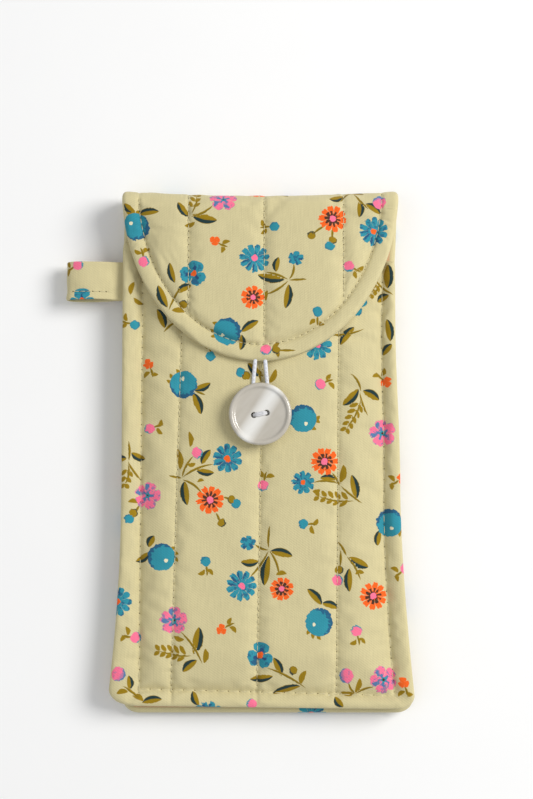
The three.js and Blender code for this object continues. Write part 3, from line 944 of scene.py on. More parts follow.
def print_cloth(obj, blooms, leaves):
    """Gives each face the leaf and the bloom nearest to it, as its own coordinates and numbers."""
    mesh = obj.data
    cloth = read_uv(mesh, "print")
    starts = np.empty(len(mesh.polygons), np.int32)
    totals = np.empty(len(mesh.polygons), np.int32)
    mesh.polygons.foreach_get("loop_start", starts)
    mesh.polygons.foreach_get("loop_total", totals)
    loops = np.repeat(np.arange(len(totals)), totals)
    centres = np.add.reduceat(cloth, starts, axis=0) / totals[:, None]

    stamps = leaf_stamps(leaves)

    def leaf_distances():
        for x, y, angle, length, width, bend, _, _ in stamps:
            p = local(centres, x, y, angle)
            t = np.clip(p[:, 0] / length, 0, 1)
            across = (p[:, 1] - bend * 4 * t * (1 - t)) / (abs(width) / 2 + 0.2)
            yield np.hypot((p[:, 0] - length / 2) / (length / 2 + 0.2), across)

    chosen = nearest_stamp(centres, leaf_distances())
    uv = np.zeros_like(cloth)
    for k, (x, y, angle, *_) in enumerate(stamps):
        mine = chosen[loops] == k
        uv[mine] = local(cloth[mine], x, y, angle)
    corner_uv(mesh, "leaf", uv)
    form = np.array([s[3:6] for s in stamps])
    face_attribute(mesh, "leaf_form", "FLOAT_VECTOR", form[chosen])
    for name, place in (("leaf_main", 6), ("leaf_dark", 7)):
        colours = np.array([(*s[place], 1) for s in stamps])
        face_attribute(mesh, name, "FLOAT_COLOR", colours[chosen])

    def bloom_distances():
        for kind, x, y, _ in blooms:
            radius = BLOOMS[kind][0][1]
            yield np.hypot(centres[:, 0] - x, centres[:, 1] - y) / radius

    chosen = nearest_stamp(centres, bloom_distances())
    uv = np.zeros_like(cloth)
    for k, (_, x, y, degrees) in enumerate(blooms):
        mine = chosen[loops] == k
        uv[mine] = local(cloth[mine], x, y, math.radians(degrees))
    corner_uv(mesh, "bloom", uv)
    for place, name in enumerate(("bloom_petals", "bloom_heart", "bloom_edge", "bloom_ball")):
        numbers = np.array([BLOOMS[b[0]][place] for b in blooms])
        face_attribute(mesh, name, "FLOAT_VECTOR", numbers[chosen])
    names = ("bloom_main", "bloom_shade", "bloom_centre", "bloom_spoke")
    for place, name in enumerate(names, start=4):
        colours = np.array([(*BLOOMS[b[0]][place], 1) for b in blooms])
        face_attribute(mesh, name, "FLOAT_COLOR", colours[chosen])


# ---- Flat patterns

RING = np.array([0, 0.09, 0.2, 0.34, 0.5, 0.66, 0.8, 0.91, 0.975, 1])  # stitching to edge


class Pattern:
    """Flat cloth as quads, made block by block and welded where the blocks meet.

    Each vertex keeps its place in the cloth and its distance from the cloth's edge.
    """

    def __init__(self):
        self.points = []
        self.edge = []
        self.faces = []
        self.keys = {}

    def vertex(self, x, v, edge):
        key = (round(x * 2000), round(v * 2000))
        for near in ((0, 0), (1, 0), (-1, 0), (0, 1), (0, -1), (1, 1), (1, -1), (-1, 1), (-1, -1)):
            found = self.keys.get((key[0] + near[0], key[1] + near[1]))
            if found is not None:
                return found
        self.keys[key] = len(self.points)
        self.points.append((x, v))
        self.edge.append(edge)
        return len(self.points) - 1

    def block(self, xs, vs, edges):
        """A grid of rows and columns. Its faces point up whichever way it was laid."""
        rows, columns = xs.shape
        index = [
            [self.vertex(xs[i, j], vs[i, j], edges[i, j]) for j in range(columns)]
            for i in range(rows)
        ]
        for i in range(rows - 1):
            for j in range(columns - 1):
                face = (index[i][j], index[i][j + 1], index[i + 1][j + 1], index[i + 1][j])
                face = tuple(dict.fromkeys(face))
                if len(face) > 2:
                    self.faces.append(face if self.area(face) > 0 else face[::-1])

    def area(self, face):
        total = 0
        for k, a in enumerate(face):
            x0, y0 = self.points[a]
            x1, y1 = self.points[face[(k + 1) % len(face)]]
            total += x0 * y1 - x1 * y0
        return total

    def arrays(self):
        points = np.array(self.points)
        return points[:, 0], points[:, 1], np.maximum(np.array(self.edge), 0)


def left_edge(y):
    return -(48.9 + 5.0 * np.clip((-15 - y) / 77, 0, 1) ** 2)


def right_edge(y):
    return 47.9 + 1.4 * ease(45, -10, y) + 5.2 * np.clip((-15 - y) / 77, 0, 1) ** 1.6


def front_lines(y):
    """x of the five seams that run up the front, at height y."""
    down = (72 - y) / 162
    return (
        -41.7 - 0.6 * np.clip(down, 0, 1),
        -27 - 4.2 * down,
        1.4 - 2.7 * down,
        28 - 1.5 * down,
        right_edge(y) - 4.4 - 2.6 * np.clip(down, 0, 1),
    )


def back_left(y):
    return left_edge(y) + FOOT_INSET * ease(-66, -90, y)


def back_right(y):
    return right_edge(y) + 1.1 * ease(60, FOLD_START, y)


def back_lines(y):
    """x of the five seams that run up the back. They meet the flap's at the fold."""
    turn = ease(40, 84, y)
    quilts = [mix(x, top, turn) for x, top in zip(BACK_LINES, FLAP_LINES)]
    return (back_left(y) + BORDER, *quilts, back_right(y) - BORDER)


def front_seam_foot(x):
    """y of the foot's stitching, which leans a little."""
    return FRONT_SEAM_FOOT - 0.026 * x


def columns_between(lines, counts):
    """Columns at one height: bunched up against each line."""
    out = [np.array([lines[0]])]
    for a, b, count in zip(lines[:-1], lines[1:], counts):
        out.append(spaced(a, b, count)[1:])
    return np.concatenate(out)


def rounded_patch(pattern, corner, side, foot, roundness):
    """A corner patch beyond the seam's corner: side and foot are the two border widths, signed."""
    a, b = np.meshgrid(RING, RING)
    xs = corner[0] + side * a * np.sqrt(1 - roundness * b * b / 2)
    vs = corner[1] + foot * b * np.sqrt(1 - roundness * a * a / 2)
    square = np.maximum(a, b)
    disc = np.sqrt(a * a + b * b - a * a * b * b)
    reach = mix(square, disc, roundness)
    pattern.block(xs, vs, (1 - reach) * (abs(side) + abs(foot)) / 2)


def bordered_rectangle(lines, edges, seam_foot, foot, seam_head, head, rows, corners):
    """A panel whose seams run parallel to its sides. head None leaves it open at the top."""
    pattern = Pattern()
    counts = (8, 14, 14, 8)

    def place(row):
        """Inner columns and heights of one row, 0 at the seam's foot and 1 at its head."""
        nominal = mix(seam_foot(0), seam_head(0), row)
        xs = columns_between([float(f) for f in lines(nominal)], counts)
        return xs, mix(seam_foot(xs), seam_head(xs), row)

    inner = [place(row) for row in rows]
    xs = np.array([i[0] for i in inner])
    vs = np.array([i[1] for i in inner])
    pattern.block(xs, vs, np.full(xs.shape, float(BORDER)))
    for column, edge in ((0, edges[0]), (-1, edges[1])):
        seam = xs[:, column]
        height = vs[:, column]
        out = edge(height)
        grid = seam[:, None] + (out - seam)[:, None] * RING[None, :]
        heights = np.repeat(height[:, None], len(RING), axis=1)
        away = np.abs(out - seam)[:, None] * (1 - RING)[None, :]
        pattern.block(grid, heights, away)
    ends = [(0, foot, corners[0])]
    if head is not None:
        ends.append((-1, head, corners[1]))
    for row, limit, roundness in ends:
        seam = vs[row]
        out = limit(xs[row])
        grid = seam[None, :] + (out - seam)[None, :] * RING[:, None]
        across = np.repeat(xs[row][None, :], len(RING), axis=0)
        away = np.abs(out - seam)[None, :] * (1 - RING)[:, None]
        pattern.block(across, grid, away)
        for column, edge, round_by in ((0, edges[0], roundness[0]), (-1, edges[1], roundness[1])):
            x, v = xs[row, column], vs[row, column]
            rounded_patch(pattern, (x, v), edge(v) - x, limit(x) - v, round_by)
    return pattern


def front_pattern():
    def foot(x):
        return -89.7 - 0.012 * x

    def head(x):
        return MOUTH - 0.082 * x

    def seam_head(x):
        return head(x) - 4

    return bordered_rectangle(
        front_lines,
        (left_edge, right_edge),
        front_seam_foot,
        foot,
        seam_head,
        head,
        spaced(0, 1, 78, 0.35),
        ((0.92, 0.92), (0.25, 0.25)),
    )


def back_pattern():
    def seam_foot(x):
        return BACK_FOOT + BORDER + 0 * x

    def foot(x):
        return BACK_FOOT + 0.2 + 0 * x

    def seam_head(x):
        return MID_SPINE + 0 * x

    straight = np.linspace(0, 0.9, 66)
    bend = np.linspace(0.9, 1, 15)[1:]
    return bordered_rectangle(
        back_lines,
        (back_left, back_right),
        seam_foot,
        foot,
        seam_head,
        None,
        np.concatenate([straight, bend]),
        ((1.0, 1.0), None),
    )


def flap_half(t, inset=0.0):
    """Half width of the flap at t along it from the ellipse's centre."""
    t = np.maximum(t, 0) / (FLAP_REACH - inset)
    return (FLAP_HALF - inset) * np.sqrt(np.maximum(0, 1 - t * t))


def flap_pattern():
    """The flap from mid spine to tip: a strap, a middle block, two lobes and a border ring."""
    pattern = Pattern()
    reach = FLAP_REACH - BORDER
    half = FLAP_HALF - BORDER
    start = MID_SPINE - FLAP_ORIGIN
    lobe_top = BEND
    left, centre, right = FLAP_LINES
    share = spaced(0, 1, 24, 0.3)

    strap_t = np.linspace(start, lobe_top, 9)
    rows = []
    for t in strap_t:
        edge = flap_half(t, BORDER)
        rows.append(columns_between((-edge, left, centre, right, edge), (10, 14, 14, 8)))
    xs = np.array(rows)
    ts = np.repeat(strap_t[:, None], xs.shape[1], axis=1)
    pattern.block(xs, ts + FLAP_ORIGIN, np.full(xs.shape, float(BORDER)))

    middle = columns_between(FLAP_LINES, (14, 14))
    bottom = reach * np.sqrt(1 - (middle / half) ** 2)
    ts = lobe_top + (bottom - lobe_top)[None, :] * share[:, None]
    xs = np.repeat(middle[None, :], len(share), axis=0)
    pattern.block(xs, ts + FLAP_ORIGIN, np.full(xs.shape, float(BORDER)))

    side = flap_half(lobe_top, BORDER)
    outline = {}
    for sign, line, count in ((-1, -left, 10), (1, right, 8)):
        columns = (spaced(line, side, count) - line) / (side - line)
        a, b = np.meshgrid(columns, share)
        disc_x = a * np.sqrt(1 - b * b / 2)
        disc_y = b * np.sqrt(1 - a * a / 2)
        radius = np.hypot(disc_x, disc_y)
        angle = np.arctan2(disc_y, disc_x)
        c, s = np.cos(angle), np.sin(angle)
        qa = (c / half) ** 2 + (s / reach) ** 2
        qb = 2 * (line * c / half**2 + lobe_top * s / reach**2)
        qc = (line / half) ** 2 + (lobe_top / reach) ** 2 - 1
        out = (-qb + np.sqrt(qb * qb - 4 * qa * qc)) / (2 * qa)
        lobe_x = line + out * radius * c
        lobe_t = lobe_top + out * radius * s
        pattern.block(sign * lobe_x, lobe_t + FLAP_ORIGIN, np.full(lobe_x.shape, float(BORDER)))
        points = [(flap_half(t, BORDER), t) for t in strap_t]
        points += list(zip(lobe_x[1:, -1], lobe_t[1:, -1]))
        points += list(zip(lobe_x[-1, -2::-1], lobe_t[-1, -2::-1]))
        outline[sign] = [(sign * x, t) for x, t in points]

    foot = list(zip(middle[::-1][1:-1], bottom[::-1][1:-1]))
    line = np.array(outline[1] + foot + outline[-1][::-1], float)
    normal = np.stack([line[:, 0] / half**2, np.maximum(line[:, 1], 0) / reach**2], axis=1)
    normal /= np.linalg.norm(normal, axis=1)[:, None]
    xs = line[:, 0][None, :] + BORDER * RING[:, None] * normal[:, 0][None, :]
    ts = line[:, 1][None, :] + BORDER * RING[:, None] * normal[:, 1][None, :]
    away = np.repeat((BORDER * (1 - RING))[:, None], len(line), axis=1)
    pattern.block(xs, ts + FLAP_ORIGIN, away)
    return pattern


# ---- Seams in the flat


def distance_to_lines(x, lines):
    """Distance to the nearest of the seams that run up a panel."""
    return np.min([np.abs(x - line) for line in lines], axis=0)


def front_seams(x, v):
    """Distances to the border stitching and to the quilting of the front panel."""
    left, *quilts, right = front_lines(v)
    foot = front_seam_foot(x)
    outside = np.maximum.reduce([left - x, x - right, foot - v])
    return np.abs(outside), distance_to_lines(x, quilts), outside


def back_seams(x, v):
    left, *quilts, right = back_lines(v)
    outside = np.maximum.reduce([left - x, x - right, BACK_FOOT + BORDER - v])
    return np.abs(outside), distance_to_lines(x, quilts), outside


def flap_seams(x, v):
    t = v - FLAP_ORIGIN
    half, reach = FLAP_HALF - BORDER, FLAP_REACH - BORDER
    down = np.maximum(t, 0)
    k = np.sqrt((x / half) ** 2 + (down / reach) ** 2) + 1e-9
    slope = np.sqrt((x / half**2) ** 2 + (down / reach**2) ** 2) / k + 1e-9
    border = (1 - k) / slope
    quilts = distance_to_lines(x, FLAP_LINES)
    quilts = np.where(border < 0, 99, quilts)
    return np.abs(border), quilts, -border


# ---- From the flat to the case


def inside_edge(x, y):
    """Distance in from the front panel's edge."""
    return np.minimum(np.minimum(x - left_edge(y), right_edge(y) - x), y - FRONT_FOOT)


def opened(x, y):
    """0 where the panels are joined and 1 where the pocket has opened."""
    return ease(BORDER, BORDER + SHOULDER, inside_edge(x, y))


def splay(x, y):
    """How far the front's edge turns up outside its stitching."""
    return EDGE_SPLAY * np.clip((BORDER - inside_edge(x, y)) / BORDER, 0, 1)


def front_base(x, y):
    return PAD + GAP + splay(x, y) + mix(EDGE_LIFT, POCKET, opened(x, y))


def back_lift(x, y):
    """How far the back's edge curls up, where the front is sewn to it."""
    sewn = ease(TOP - PAD, MOUTH, y)
    return EDGE_LIFT * sewn * (1 - opened(x, y))


def along_fold(v):
    """Outer line of the back, fold and flap: y, z and the inward normal, for v along the cloth."""
    lower = np.clip((v - FOLD_START) / BEND, 0, math.pi / 2)
    up = np.clip(v - FOLD_START - ARC, 0, SPINE)
    upper = np.clip((v - FOLD_START - ARC - SPINE) / BEND, 0, math.pi / 2)
    back = np.minimum(v, FOLD_START)
    forward = np.maximum(v - FOLD_START - 2 * ARC - SPINE, 0)
    y = back + BEND * np.sin(lower) - BEND * (1 - np.cos(upper)) - forward
    z = BEND * (1 - np.cos(lower)) + up + BEND * np.sin(upper)
    turned = lower + upper
    return y, z, -np.sin(turned), np.cos(turned)


def padding(x, v, e, seams, seed):
    """Half thicknesses of a pad: plain, and with the border seam's pull. Also the seam's share."""
    border, quilts, outside = seams(x, v)
    rounding = np.sqrt(np.clip(1 - (1 - np.minimum(e, EDGE_ROUND) / EDGE_ROUND) ** 2, 0, 1))
    calm = 0.2 + 0.8 * ease(2, 24, np.abs(v - MID_SPINE))
    quilt = QUILT_DEPTH * calm * np.exp(-quilts / QUILT_WIDTH)
    seam = SEAM_DEPTH * calm * np.exp(-border / SEAM_WIDTH)
    lumps = calm * (0.1 * waves(x, v, seed, 16) + 0.05 * waves(x, v, seed + 1, 6))
    pull = 0.12 * waves(x * 0.2, v, seed + 2, 4.0) * np.exp(-quilts / 2.6)
    pull = calm * (pull + 0.12 * waves(x, v, seed + 3, 4.5) * np.exp(-border / 2.4))
    roll = 0.22 * ease(0.6, 2.6, outside)
    return rounding * (CROWN + roll + lumps + pull - quilt), seam * rounding


def sag(x, y, seed):
    """Slow unevenness of a whole panel."""
    return 0.32 * waves(x, y, seed, 46)


def front_point(x, v, e, side):
    half, seam = padding(x, v, e, front_seams, 11)
    middle = front_base(x, v) + PAD / 2 + sag(x, v, 5) * opened(x, v)
    if side > 0:
        return np.stack([x, v, middle + half - seam], axis=1)
    return np.stack([x, v, middle - half + 0.1], axis=1)


def long_point(x, v, e, side, seams, seed):
    """A point of the back, fold and flap. side is 1 for the outer face and -1 for the lining's."""
    half, seam = padding(x, v, e, seams, seed)
    half = np.minimum(half, PAD / 2 + 0.15)
    depth = PAD / 2 - side * half + (seam if side > 0 else 0)
    y, z, ny, nz = along_fold(v)
    y = y + ny * depth
    z = z + nz * depth
    dip = FOLD_DIP * (1 - (x / FLAP_HALF) ** 2) * ease(MID_SPINE - 40, MID_SPINE - 6, v)
    dip = dip * (1 - ease(MID_SPINE + 6, MID_SPINE + 40, v))
    y = y - dip
    t = v - FLAP_ORIGIN
    droop = 1.9 * ease(26, 48, np.abs(x)) * ease(0, 16, t) + 0.5 * ease(36, 60, t)
    on_back = 1 - ease(FOLD_START - 12, FOLD_START + 2, v)
    lift = back_lift(x, v) * on_back
    z = z + lift - droop
    return np.stack([x, y, z], axis=1)


def back_point(x, v, e, side):
    return long_point(x, v, e, side, back_seams, 31)


def flap_point(x, v, e, side):
    return long_point(x, v, e, side, flap_seams, 51)


front_point.faces_up = True
back_point.faces_up = False  # the outer lies underneath
flap_point.faces_up = False  # the cloth has turned over
front_point.centre = 0
back_point.centre = 0
flap_point.centre = FLAP_ORIGIN


# ---- Pads: an outer that wraps under, a lining that closes it and the wadding between


def is_outer(side, near):
    """Whether a face belongs to the outer, which wraps round on to the lining's side."""
    return side > 0 or near.max() <= TUCK


def is_lining(side, near):
    return side < 0 and near.min() >= TUCK - LINING_UNDERLAP


def tree_of(points, chosen):
    """A search tree of the chosen points, which finds them by their numbers."""
    tree = KDTree(len(chosen))
    for i in chosen:
        tree.insert(points[i], int(i))
    tree.balance()
    return tree


def edge_arc(past):
    """Length along the rounded edge, past mm out from where the rounding starts."""
    turns = np.linspace(0, math.pi / 2, 200)
    steps = np.hypot(EDGE_ROUND * np.cos(turns), CROWN * np.sin(turns)) * (turns[1] - turns[0])
    return np.interp(np.arcsin(np.clip(past / EDGE_ROUND, 0, 1)), turns, np.cumsum(steps) - steps[0])


def wrapped(x, v, e, side):
    """Places in the cloth measured over the rounded edge, and on round to the other face."""
    flat = np.stack([x, v, 0 * x], axis=1)
    rim = np.flatnonzero(e < 1e-6)
    tree = tree_of(flat, rim)
    out = np.array([flat[tree.find(p)[1]] - p for p in flat])
    out /= np.linalg.norm(out, axis=1)[:, None] + 1e-9
    # a point of the rim is its own nearest, so it takes the direction of one just inside it
    tree = tree_of(flat, np.flatnonzero((e > 0.1) & (e < 0.7)))
    out[rim] = [out[tree.find(flat[i])[1]] for i in rim]
    past = EDGE_ROUND - np.minimum(e, EDGE_ROUND)
    shift = edge_arc(past) - past
    if side < 0:
        beyond = np.maximum(e - EDGE_ROUND, 0)
        shift = 2 * edge_arc(EDGE_ROUND) - edge_arc(past) - past + 2 * beyond
    return (flat + out * shift[:, None])[:, :2]


def cloth_object(name, pattern, mapping, pick, material, levels, seams=None):
    """A skin of a pad from its pattern. pick(side, edges) says which faces it has.

    With seams, the cloth is puffed out between them.
    """
    x, v, e = pattern.arrays()
    count = len(x)
    upper = mapping(x, v, e, 1)
    lower = mapping(x, v, e, -1)
    rim = e < 1e-6
    upper[rim] = lower[rim] = (upper[rim] + lower[rim]) / 2
    vertices = np.vstack([upper, lower])
    remap = np.arange(2 * count)
    remap[count:][rim] = np.arange(count)[rim]
    above, below = wrapped(x, v, e, 1), wrapped(x, v, e, -1)
    faces, flats, printed = [], [], []
    for face in pattern.faces:
        near = e[list(face)]
        order = face if mapping.faces_up else face[::-1]
        if pick(1, near):
            faces.append([int(remap[i]) for i in order])
            flats.append(list(order))
            printed.extend(above[i] for i in order)
        if pick(-1, near):
            faces.append([int(remap[i + count]) for i in order[::-1]])
            flats.append(list(order[::-1]))
            printed.extend(below[i] for i in order[::-1])
    used = sorted({i for face in faces for i in face})
    number = {old: new for new, old in enumerate(used)}
    faces = [[number[i] for i in face] for face in faces]
    obj = new_object(name, vertices[used], faces, material)
    uv = [(x[i], v[i]) for face in flats for i in face]
    corner_uv(obj.data, "cloth", np.array(uv))
    if pick is is_outer:
        corner_uv(obj.data, "print", np.array(printed))
    if seams is not None:
        border, quilts, _ = seams(x, v)
        held = (np.minimum(border, quilts) < 0.35) | (e < 0.3) | (np.abs(v - MID_SPINE) < 2.5)
        held = np.concatenate([held, np.ones(count, bool)])
        puff(obj, np.flatnonzero(held[used]))
    return subdivide(obj, levels)


def puff(obj, held):
    """A short cloth run at a larger scale: slack cloth over padding, held along its seams."""
    scene = bpy.context.scene
    before = coordinates(obj)
    normals = vertex_normals(obj)
    set_coordinates(obj, before * CLOTH_SCALE)
    group = obj.vertex_groups.new(name="held")
    group.add([int(i) for i in held], 1.0, "REPLACE")
    cloth = obj.modifiers.new("cloth", "CLOTH")
    settings = cloth.settings
    settings.quality = 5
    settings.mass = 0.2
    settings.tension_stiffness = 12
    settings.compression_stiffness = 12
    settings.shear_stiffness = 6
    settings.bending_stiffness = 0.6
    settings.shrink_min = -0.028
    settings.vertex_group_mass = "held"
    settings.use_pressure = True
    settings.uniform_pressure_force = 1.6
    settings.effector_weights.gravity = 0
    cloth.point_cache.frame_start = 1
    cloth.point_cache.frame_end = CLOTH_FRAMES
    for frame_number in range(1, CLOTH_FRAMES + 1):
        scene.frame_set(frame_number)
    apply_modifiers(obj)
    moved = coordinates(obj) / CLOTH_SCALE - before
    inward = np.minimum((moved * normals).sum(axis=1) + CLOTH_INWARD, 0)
    moved -= normals * inward[:, None]
    far = np.linalg.norm(moved, axis=1)[:, None] + 1e-9
    set_coordinates(obj, before + moved * np.minimum(1, CLOTH_CAP / far))
    obj.vertex_groups.clear()
    scene.frame_set(1)
    print(f"cloth {obj.name}: moved {far.mean():.2f} mm on average, {far.max():.2f} at most")


def vertex_normals(obj):
    normals = np.empty(3 * len(obj.data.vertices))
    obj.data.vertices.foreach_get("normal", normals)
    return normals.reshape(-1, 3)


def vertex_cloth(obj):
    """The flat coordinates of each vertex, from any of its corners."""
    mesh = obj.data
    uv = read_uv(mesh, "cloth")
    corners = np.empty(len(mesh.loops), np.int32)
    mesh.loops.foreach_get("vertex_index", corners)
    out = np.zeros((len(mesh.vertices), 2))
    out[corners] = uv
    return out


def dimple(obj, holes, facing_up=1):
    """Presses the cloth in at each stitch hole."""
    holes = np.column_stack([holes, np.zeros(len(holes))])
    tree = tree_of(holes, range(len(holes)))
    flat = vertex_cloth(obj)
    points = coordinates(obj)
    normals = vertex_normals(obj)
    depth = np.zeros(len(points))
    for i, (x, v) in enumerate(flat):
        _, _, distance = tree.find((x, v, 0))
        depth[i] = DIMPLE * math.exp(-((distance / DIMPLE_WIDTH) ** 2))
    facing = normals[:, 2] * facing_up > -0.2
    set_coordinates(obj, points - normals * (depth * facing)[:, None])


def distances_along(points):
    """How far along a line each of its points lies."""
    return np.concatenate([[0], np.cumsum(np.linalg.norm(np.diff(points, axis=0), axis=1))])


def holes_along(line, pitch=PITCH):
    """Needle holes at even steps along a flat line."""
    line = np.asarray(line, float)
    lengths = distances_along(line)
    wanted = np.arange(0, lengths[-1], pitch)
    return np.stack([np.interp(wanted, lengths, line[:, k]) for k in (0, 1)], axis=1)


def surface_finder(obj, direction):
    """A function that gives the surface point at (x, y), in mm, and its normal.

    direction is -1 to find it from above and 1 to find it from below.
    """
    tree = BVHTree.FromObject(obj, bpy.context.evaluated_depsgraph_get())

    def find(x, y):
        start = Vector((x * MM, y * MM, -direction * 0.1))
        location, normal, _, _ = tree.ray_cast(start, Vector((0, 0, direction)))
        return None if location is None else (np.array(location) / MM, np.array(normal))

    return find


def hole_shade_bead(point, normal):
    """A small flat bead, dark, that fills the hole round the thread as painted shade."""
    side = np.cross(normal, (0.3, 0.9, 0.2))
    side /= np.linalg.norm(side)
    other = np.cross(normal, side)
    ring = [
        point + HOLE * (math.cos(a) * side + math.sin(a) * other)
        for a in np.linspace(0, 2 * math.pi, 11)[:-1]
    ]
    vertices = np.array(ring + [point + normal * 0.06, point - normal * 0.2])
    faces = []
    for k in range(10):
        n = (k + 1) % 10
        faces += [(k, n, 10), (n, k, 11)]
    return vertices, faces


def stitches(name, holes, find, material, pitch=PITCH):
    """Short threads from hole to hole, lying on the cloth that find gives, and dark beads of painted shade
    in the holes.
    """
    parts, shade_beads = [], []
    for a, b in zip(holes[:-1], holes[1:]):
        if math.hypot(b[0] - a[0], b[1] - a[1]) > 2 * pitch:
            continue
        start, end = find(*a), find(*b)
        middle = find(*((a + b) / 2))
        if start is None or end is None or middle is None:
            continue
        up = middle[1] if middle[1][2] * start[1][2] > 0 else start[1]
        p0 = mix(start[0], end[0], 0.1) - start[1] * 0.12
        p1 = mix(start[0], end[0], 0.9) - end[1] * 0.12
        crest = middle[0] + up * STITCH * 0.55
        path = [p0, mix(p0, crest, 0.45) + up * 0.16, crest, mix(p1, crest, 0.45) + up * 0.16, p1]
        radii = np.array([0.32, 0.48, 0.52, 0.48, 0.32]) * STITCH
        parts.append(tube(spline(path, 7), np.interp(np.linspace(0, 4, 7), range(5), radii), 6))
        shade_beads.append(hole_shade_bead(*start))
    vertices, faces = joined(parts + shade_beads)
    obj = new_object(name, vertices, faces, material)
    # The beads' faces are marked for the painted shade of the holes.
    dark = np.zeros(len(faces))
    dark[sum(len(part[1]) for part in parts):] = 1
    attribute = obj.data.attributes.new("hole", "FLOAT", "FACE")
    attribute.data.foreach_set("value", dark.astype(np.float32))
    return obj


def plan_of(flat):
    """Where flat points of the flap lie when seen from above."""
    flat = np.asarray(flat, float)
    y, _, _, _ = along_fold(flat[:, 1])
    return np.stack([flat[:, 0], y], axis=1)


# ---- Making the pieces


def make_pad(name, pattern, mapping, levels, materials, seams):
    """The three layers of one pad: outer, lining and wadding."""
    outer = cloth_object(
        f"{name}_outer_cloth", pattern, mapping, is_outer, materials["print"], levels, seams
    )

    def proud(x, v, e, _):
        """The inner face, a little proud of it except beneath the outer's edge."""
        inner = mapping(x, v, e, -1)
        away = inner - mapping(x, v, e, 1)
        away /= np.linalg.norm(away, axis=1)[:, None] + 1e-9
        return inner + away * 0.12 * ease(1, TUCK, e)[:, None]

    proud.faces_up = mapping.faces_up

    lining = cloth_object(
        f"{name}_lining_cloth", pattern, proud, is_lining, materials["lining"], min(levels, 1)
    )

    def shrunk(x, v, e, side):
        """Both faces, drawn in to lie between the outer and the lining."""
        near_rim = 1 - ease(0, 3, e)
        x = x * (1 - 0.018 * near_rim)
        v = mapping.centre + (v - mapping.centre) * (1 - 0.012 * near_rim)
        upper = mapping(x, v, e, 1)
        lower = mapping(x, v, e, -1)
        middle = (upper + lower) / 2
        thinner = 0.62 - 0.3 * near_rim
        return middle + (upper - middle) * side * thinner[:, None]

    shrunk.faces_up = mapping.faces_up

    wadding = cloth_object(
        f"{name}_wadding", pattern, shrunk, lambda side, near: True, materials["wadding"], 0
    )
    return outer, lining, wadding


def quilting(panel):
    """The names of a panel's quilting lines."""
    return [f"{panel}_quilting_{side}" for side in ("left", "centre", "right")]


def attach(piece, body, slot, *nodes):
    """A piece rides on a body and stands for some CAD nodes. slot is not used."""
    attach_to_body(piece, body)
    if nodes:
        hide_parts(*nodes)


def ride_between(piece):
    """Bakes a piece's transform into its mesh."""
    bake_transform(piece)


def declare_lining(lining, wadding):
    """Sums the lining's flat area in its own cut; nothing uses the sum."""
    mesh = lining.data
    flat = read_uv(mesh, "cloth").astype(float)
    area = 0.0
    for polygon in mesh.polygons:
        corners = flat[polygon.loop_start : polygon.loop_start + polygon.loop_total]
        x, y = corners[:, 0], corners[:, 1]
        area += abs(np.dot(x, np.roll(y, -1)) - np.dot(y, np.roll(x, -1))) / 2


def declare_pad(pad, panels, place):
    """The layers stand for those of the CAD's panels. place(piece) puts one on its bodies."""
    outer, lining, wadding = pad
    slots = ("print_cotton", "lining_cotton", "wadding")
    for piece, layer, slot in zip(pad, ("outer", "lining", "batting"), slots):
        place(piece)
        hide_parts(*[f"{panel}_{layer}" for panel in panels])
    declare_lining(lining, wadding)


def make_front(materials):
    pad = make_pad("front", front_pattern(), front_point, 2, materials, front_seams)
    outer = pad[0]
    heights = np.linspace(FRONT_SEAM_FOOT, MOUTH - 2, 120)
    lines = front_lines(heights)
    names = ["side_seam_left", *quilting("front"), "side_seam_right", "bottom_seam"]
    pitches = [SEAM_PITCH, PITCH, PITCH, PITCH, SEAM_PITCH, SEAM_PITCH]
    routes = [np.stack([x, heights], axis=1) for x in lines]
    xs = np.linspace(lines[0][0], lines[4][0], 60)
    routes.append(np.stack([xs, front_seam_foot(xs)], axis=1))
    holes = [holes_along(route, pitch) for route, pitch in zip(routes, pitches)]
    dimple(outer, np.vstack(holes))
    print_cloth(outer, *with_sprouts(FRONT_BLOOMS, FRONT_LEAVES, FRONT_SPROUTS))
    find = surface_finder(outer, -1)
    for name, flat, pitch in zip(names, holes, pitches):
        line = stitches(f"{name}_stitches", flat, find, materials["thread"], pitch)
        attach(line, "pouch", "thread", name)

    def place(piece):
        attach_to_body(piece, "pouch")

    declare_pad(pad, ["front"], place)


def back_print():
    """The back's motifs: the front's, mirrored, and above them the flap's."""
    blooms, leaves = with_sprouts(FRONT_BLOOMS, FRONT_LEAVES, FRONT_SPROUTS)
    more_blooms, more_leaves = with_sprouts(FLAP_BLOOMS, FLAP_LEAVES, FLAP_SPROUTS)
    blooms += [entry for entry in more_blooms if entry[2] > FRONT_PRINT_END]
    leaves += [entry for entry in more_leaves if entry[2] > FRONT_PRINT_END]
    blooms = [(kind, -x, y, 180 - angle) for kind, x, y, angle in blooms]
    leaves = [(kind, -x, y, 180 - angle, *size) for kind, x, y, angle, *size in leaves]
    return blooms + SPINE_BLOOMS, leaves + SPINE_LEAVES


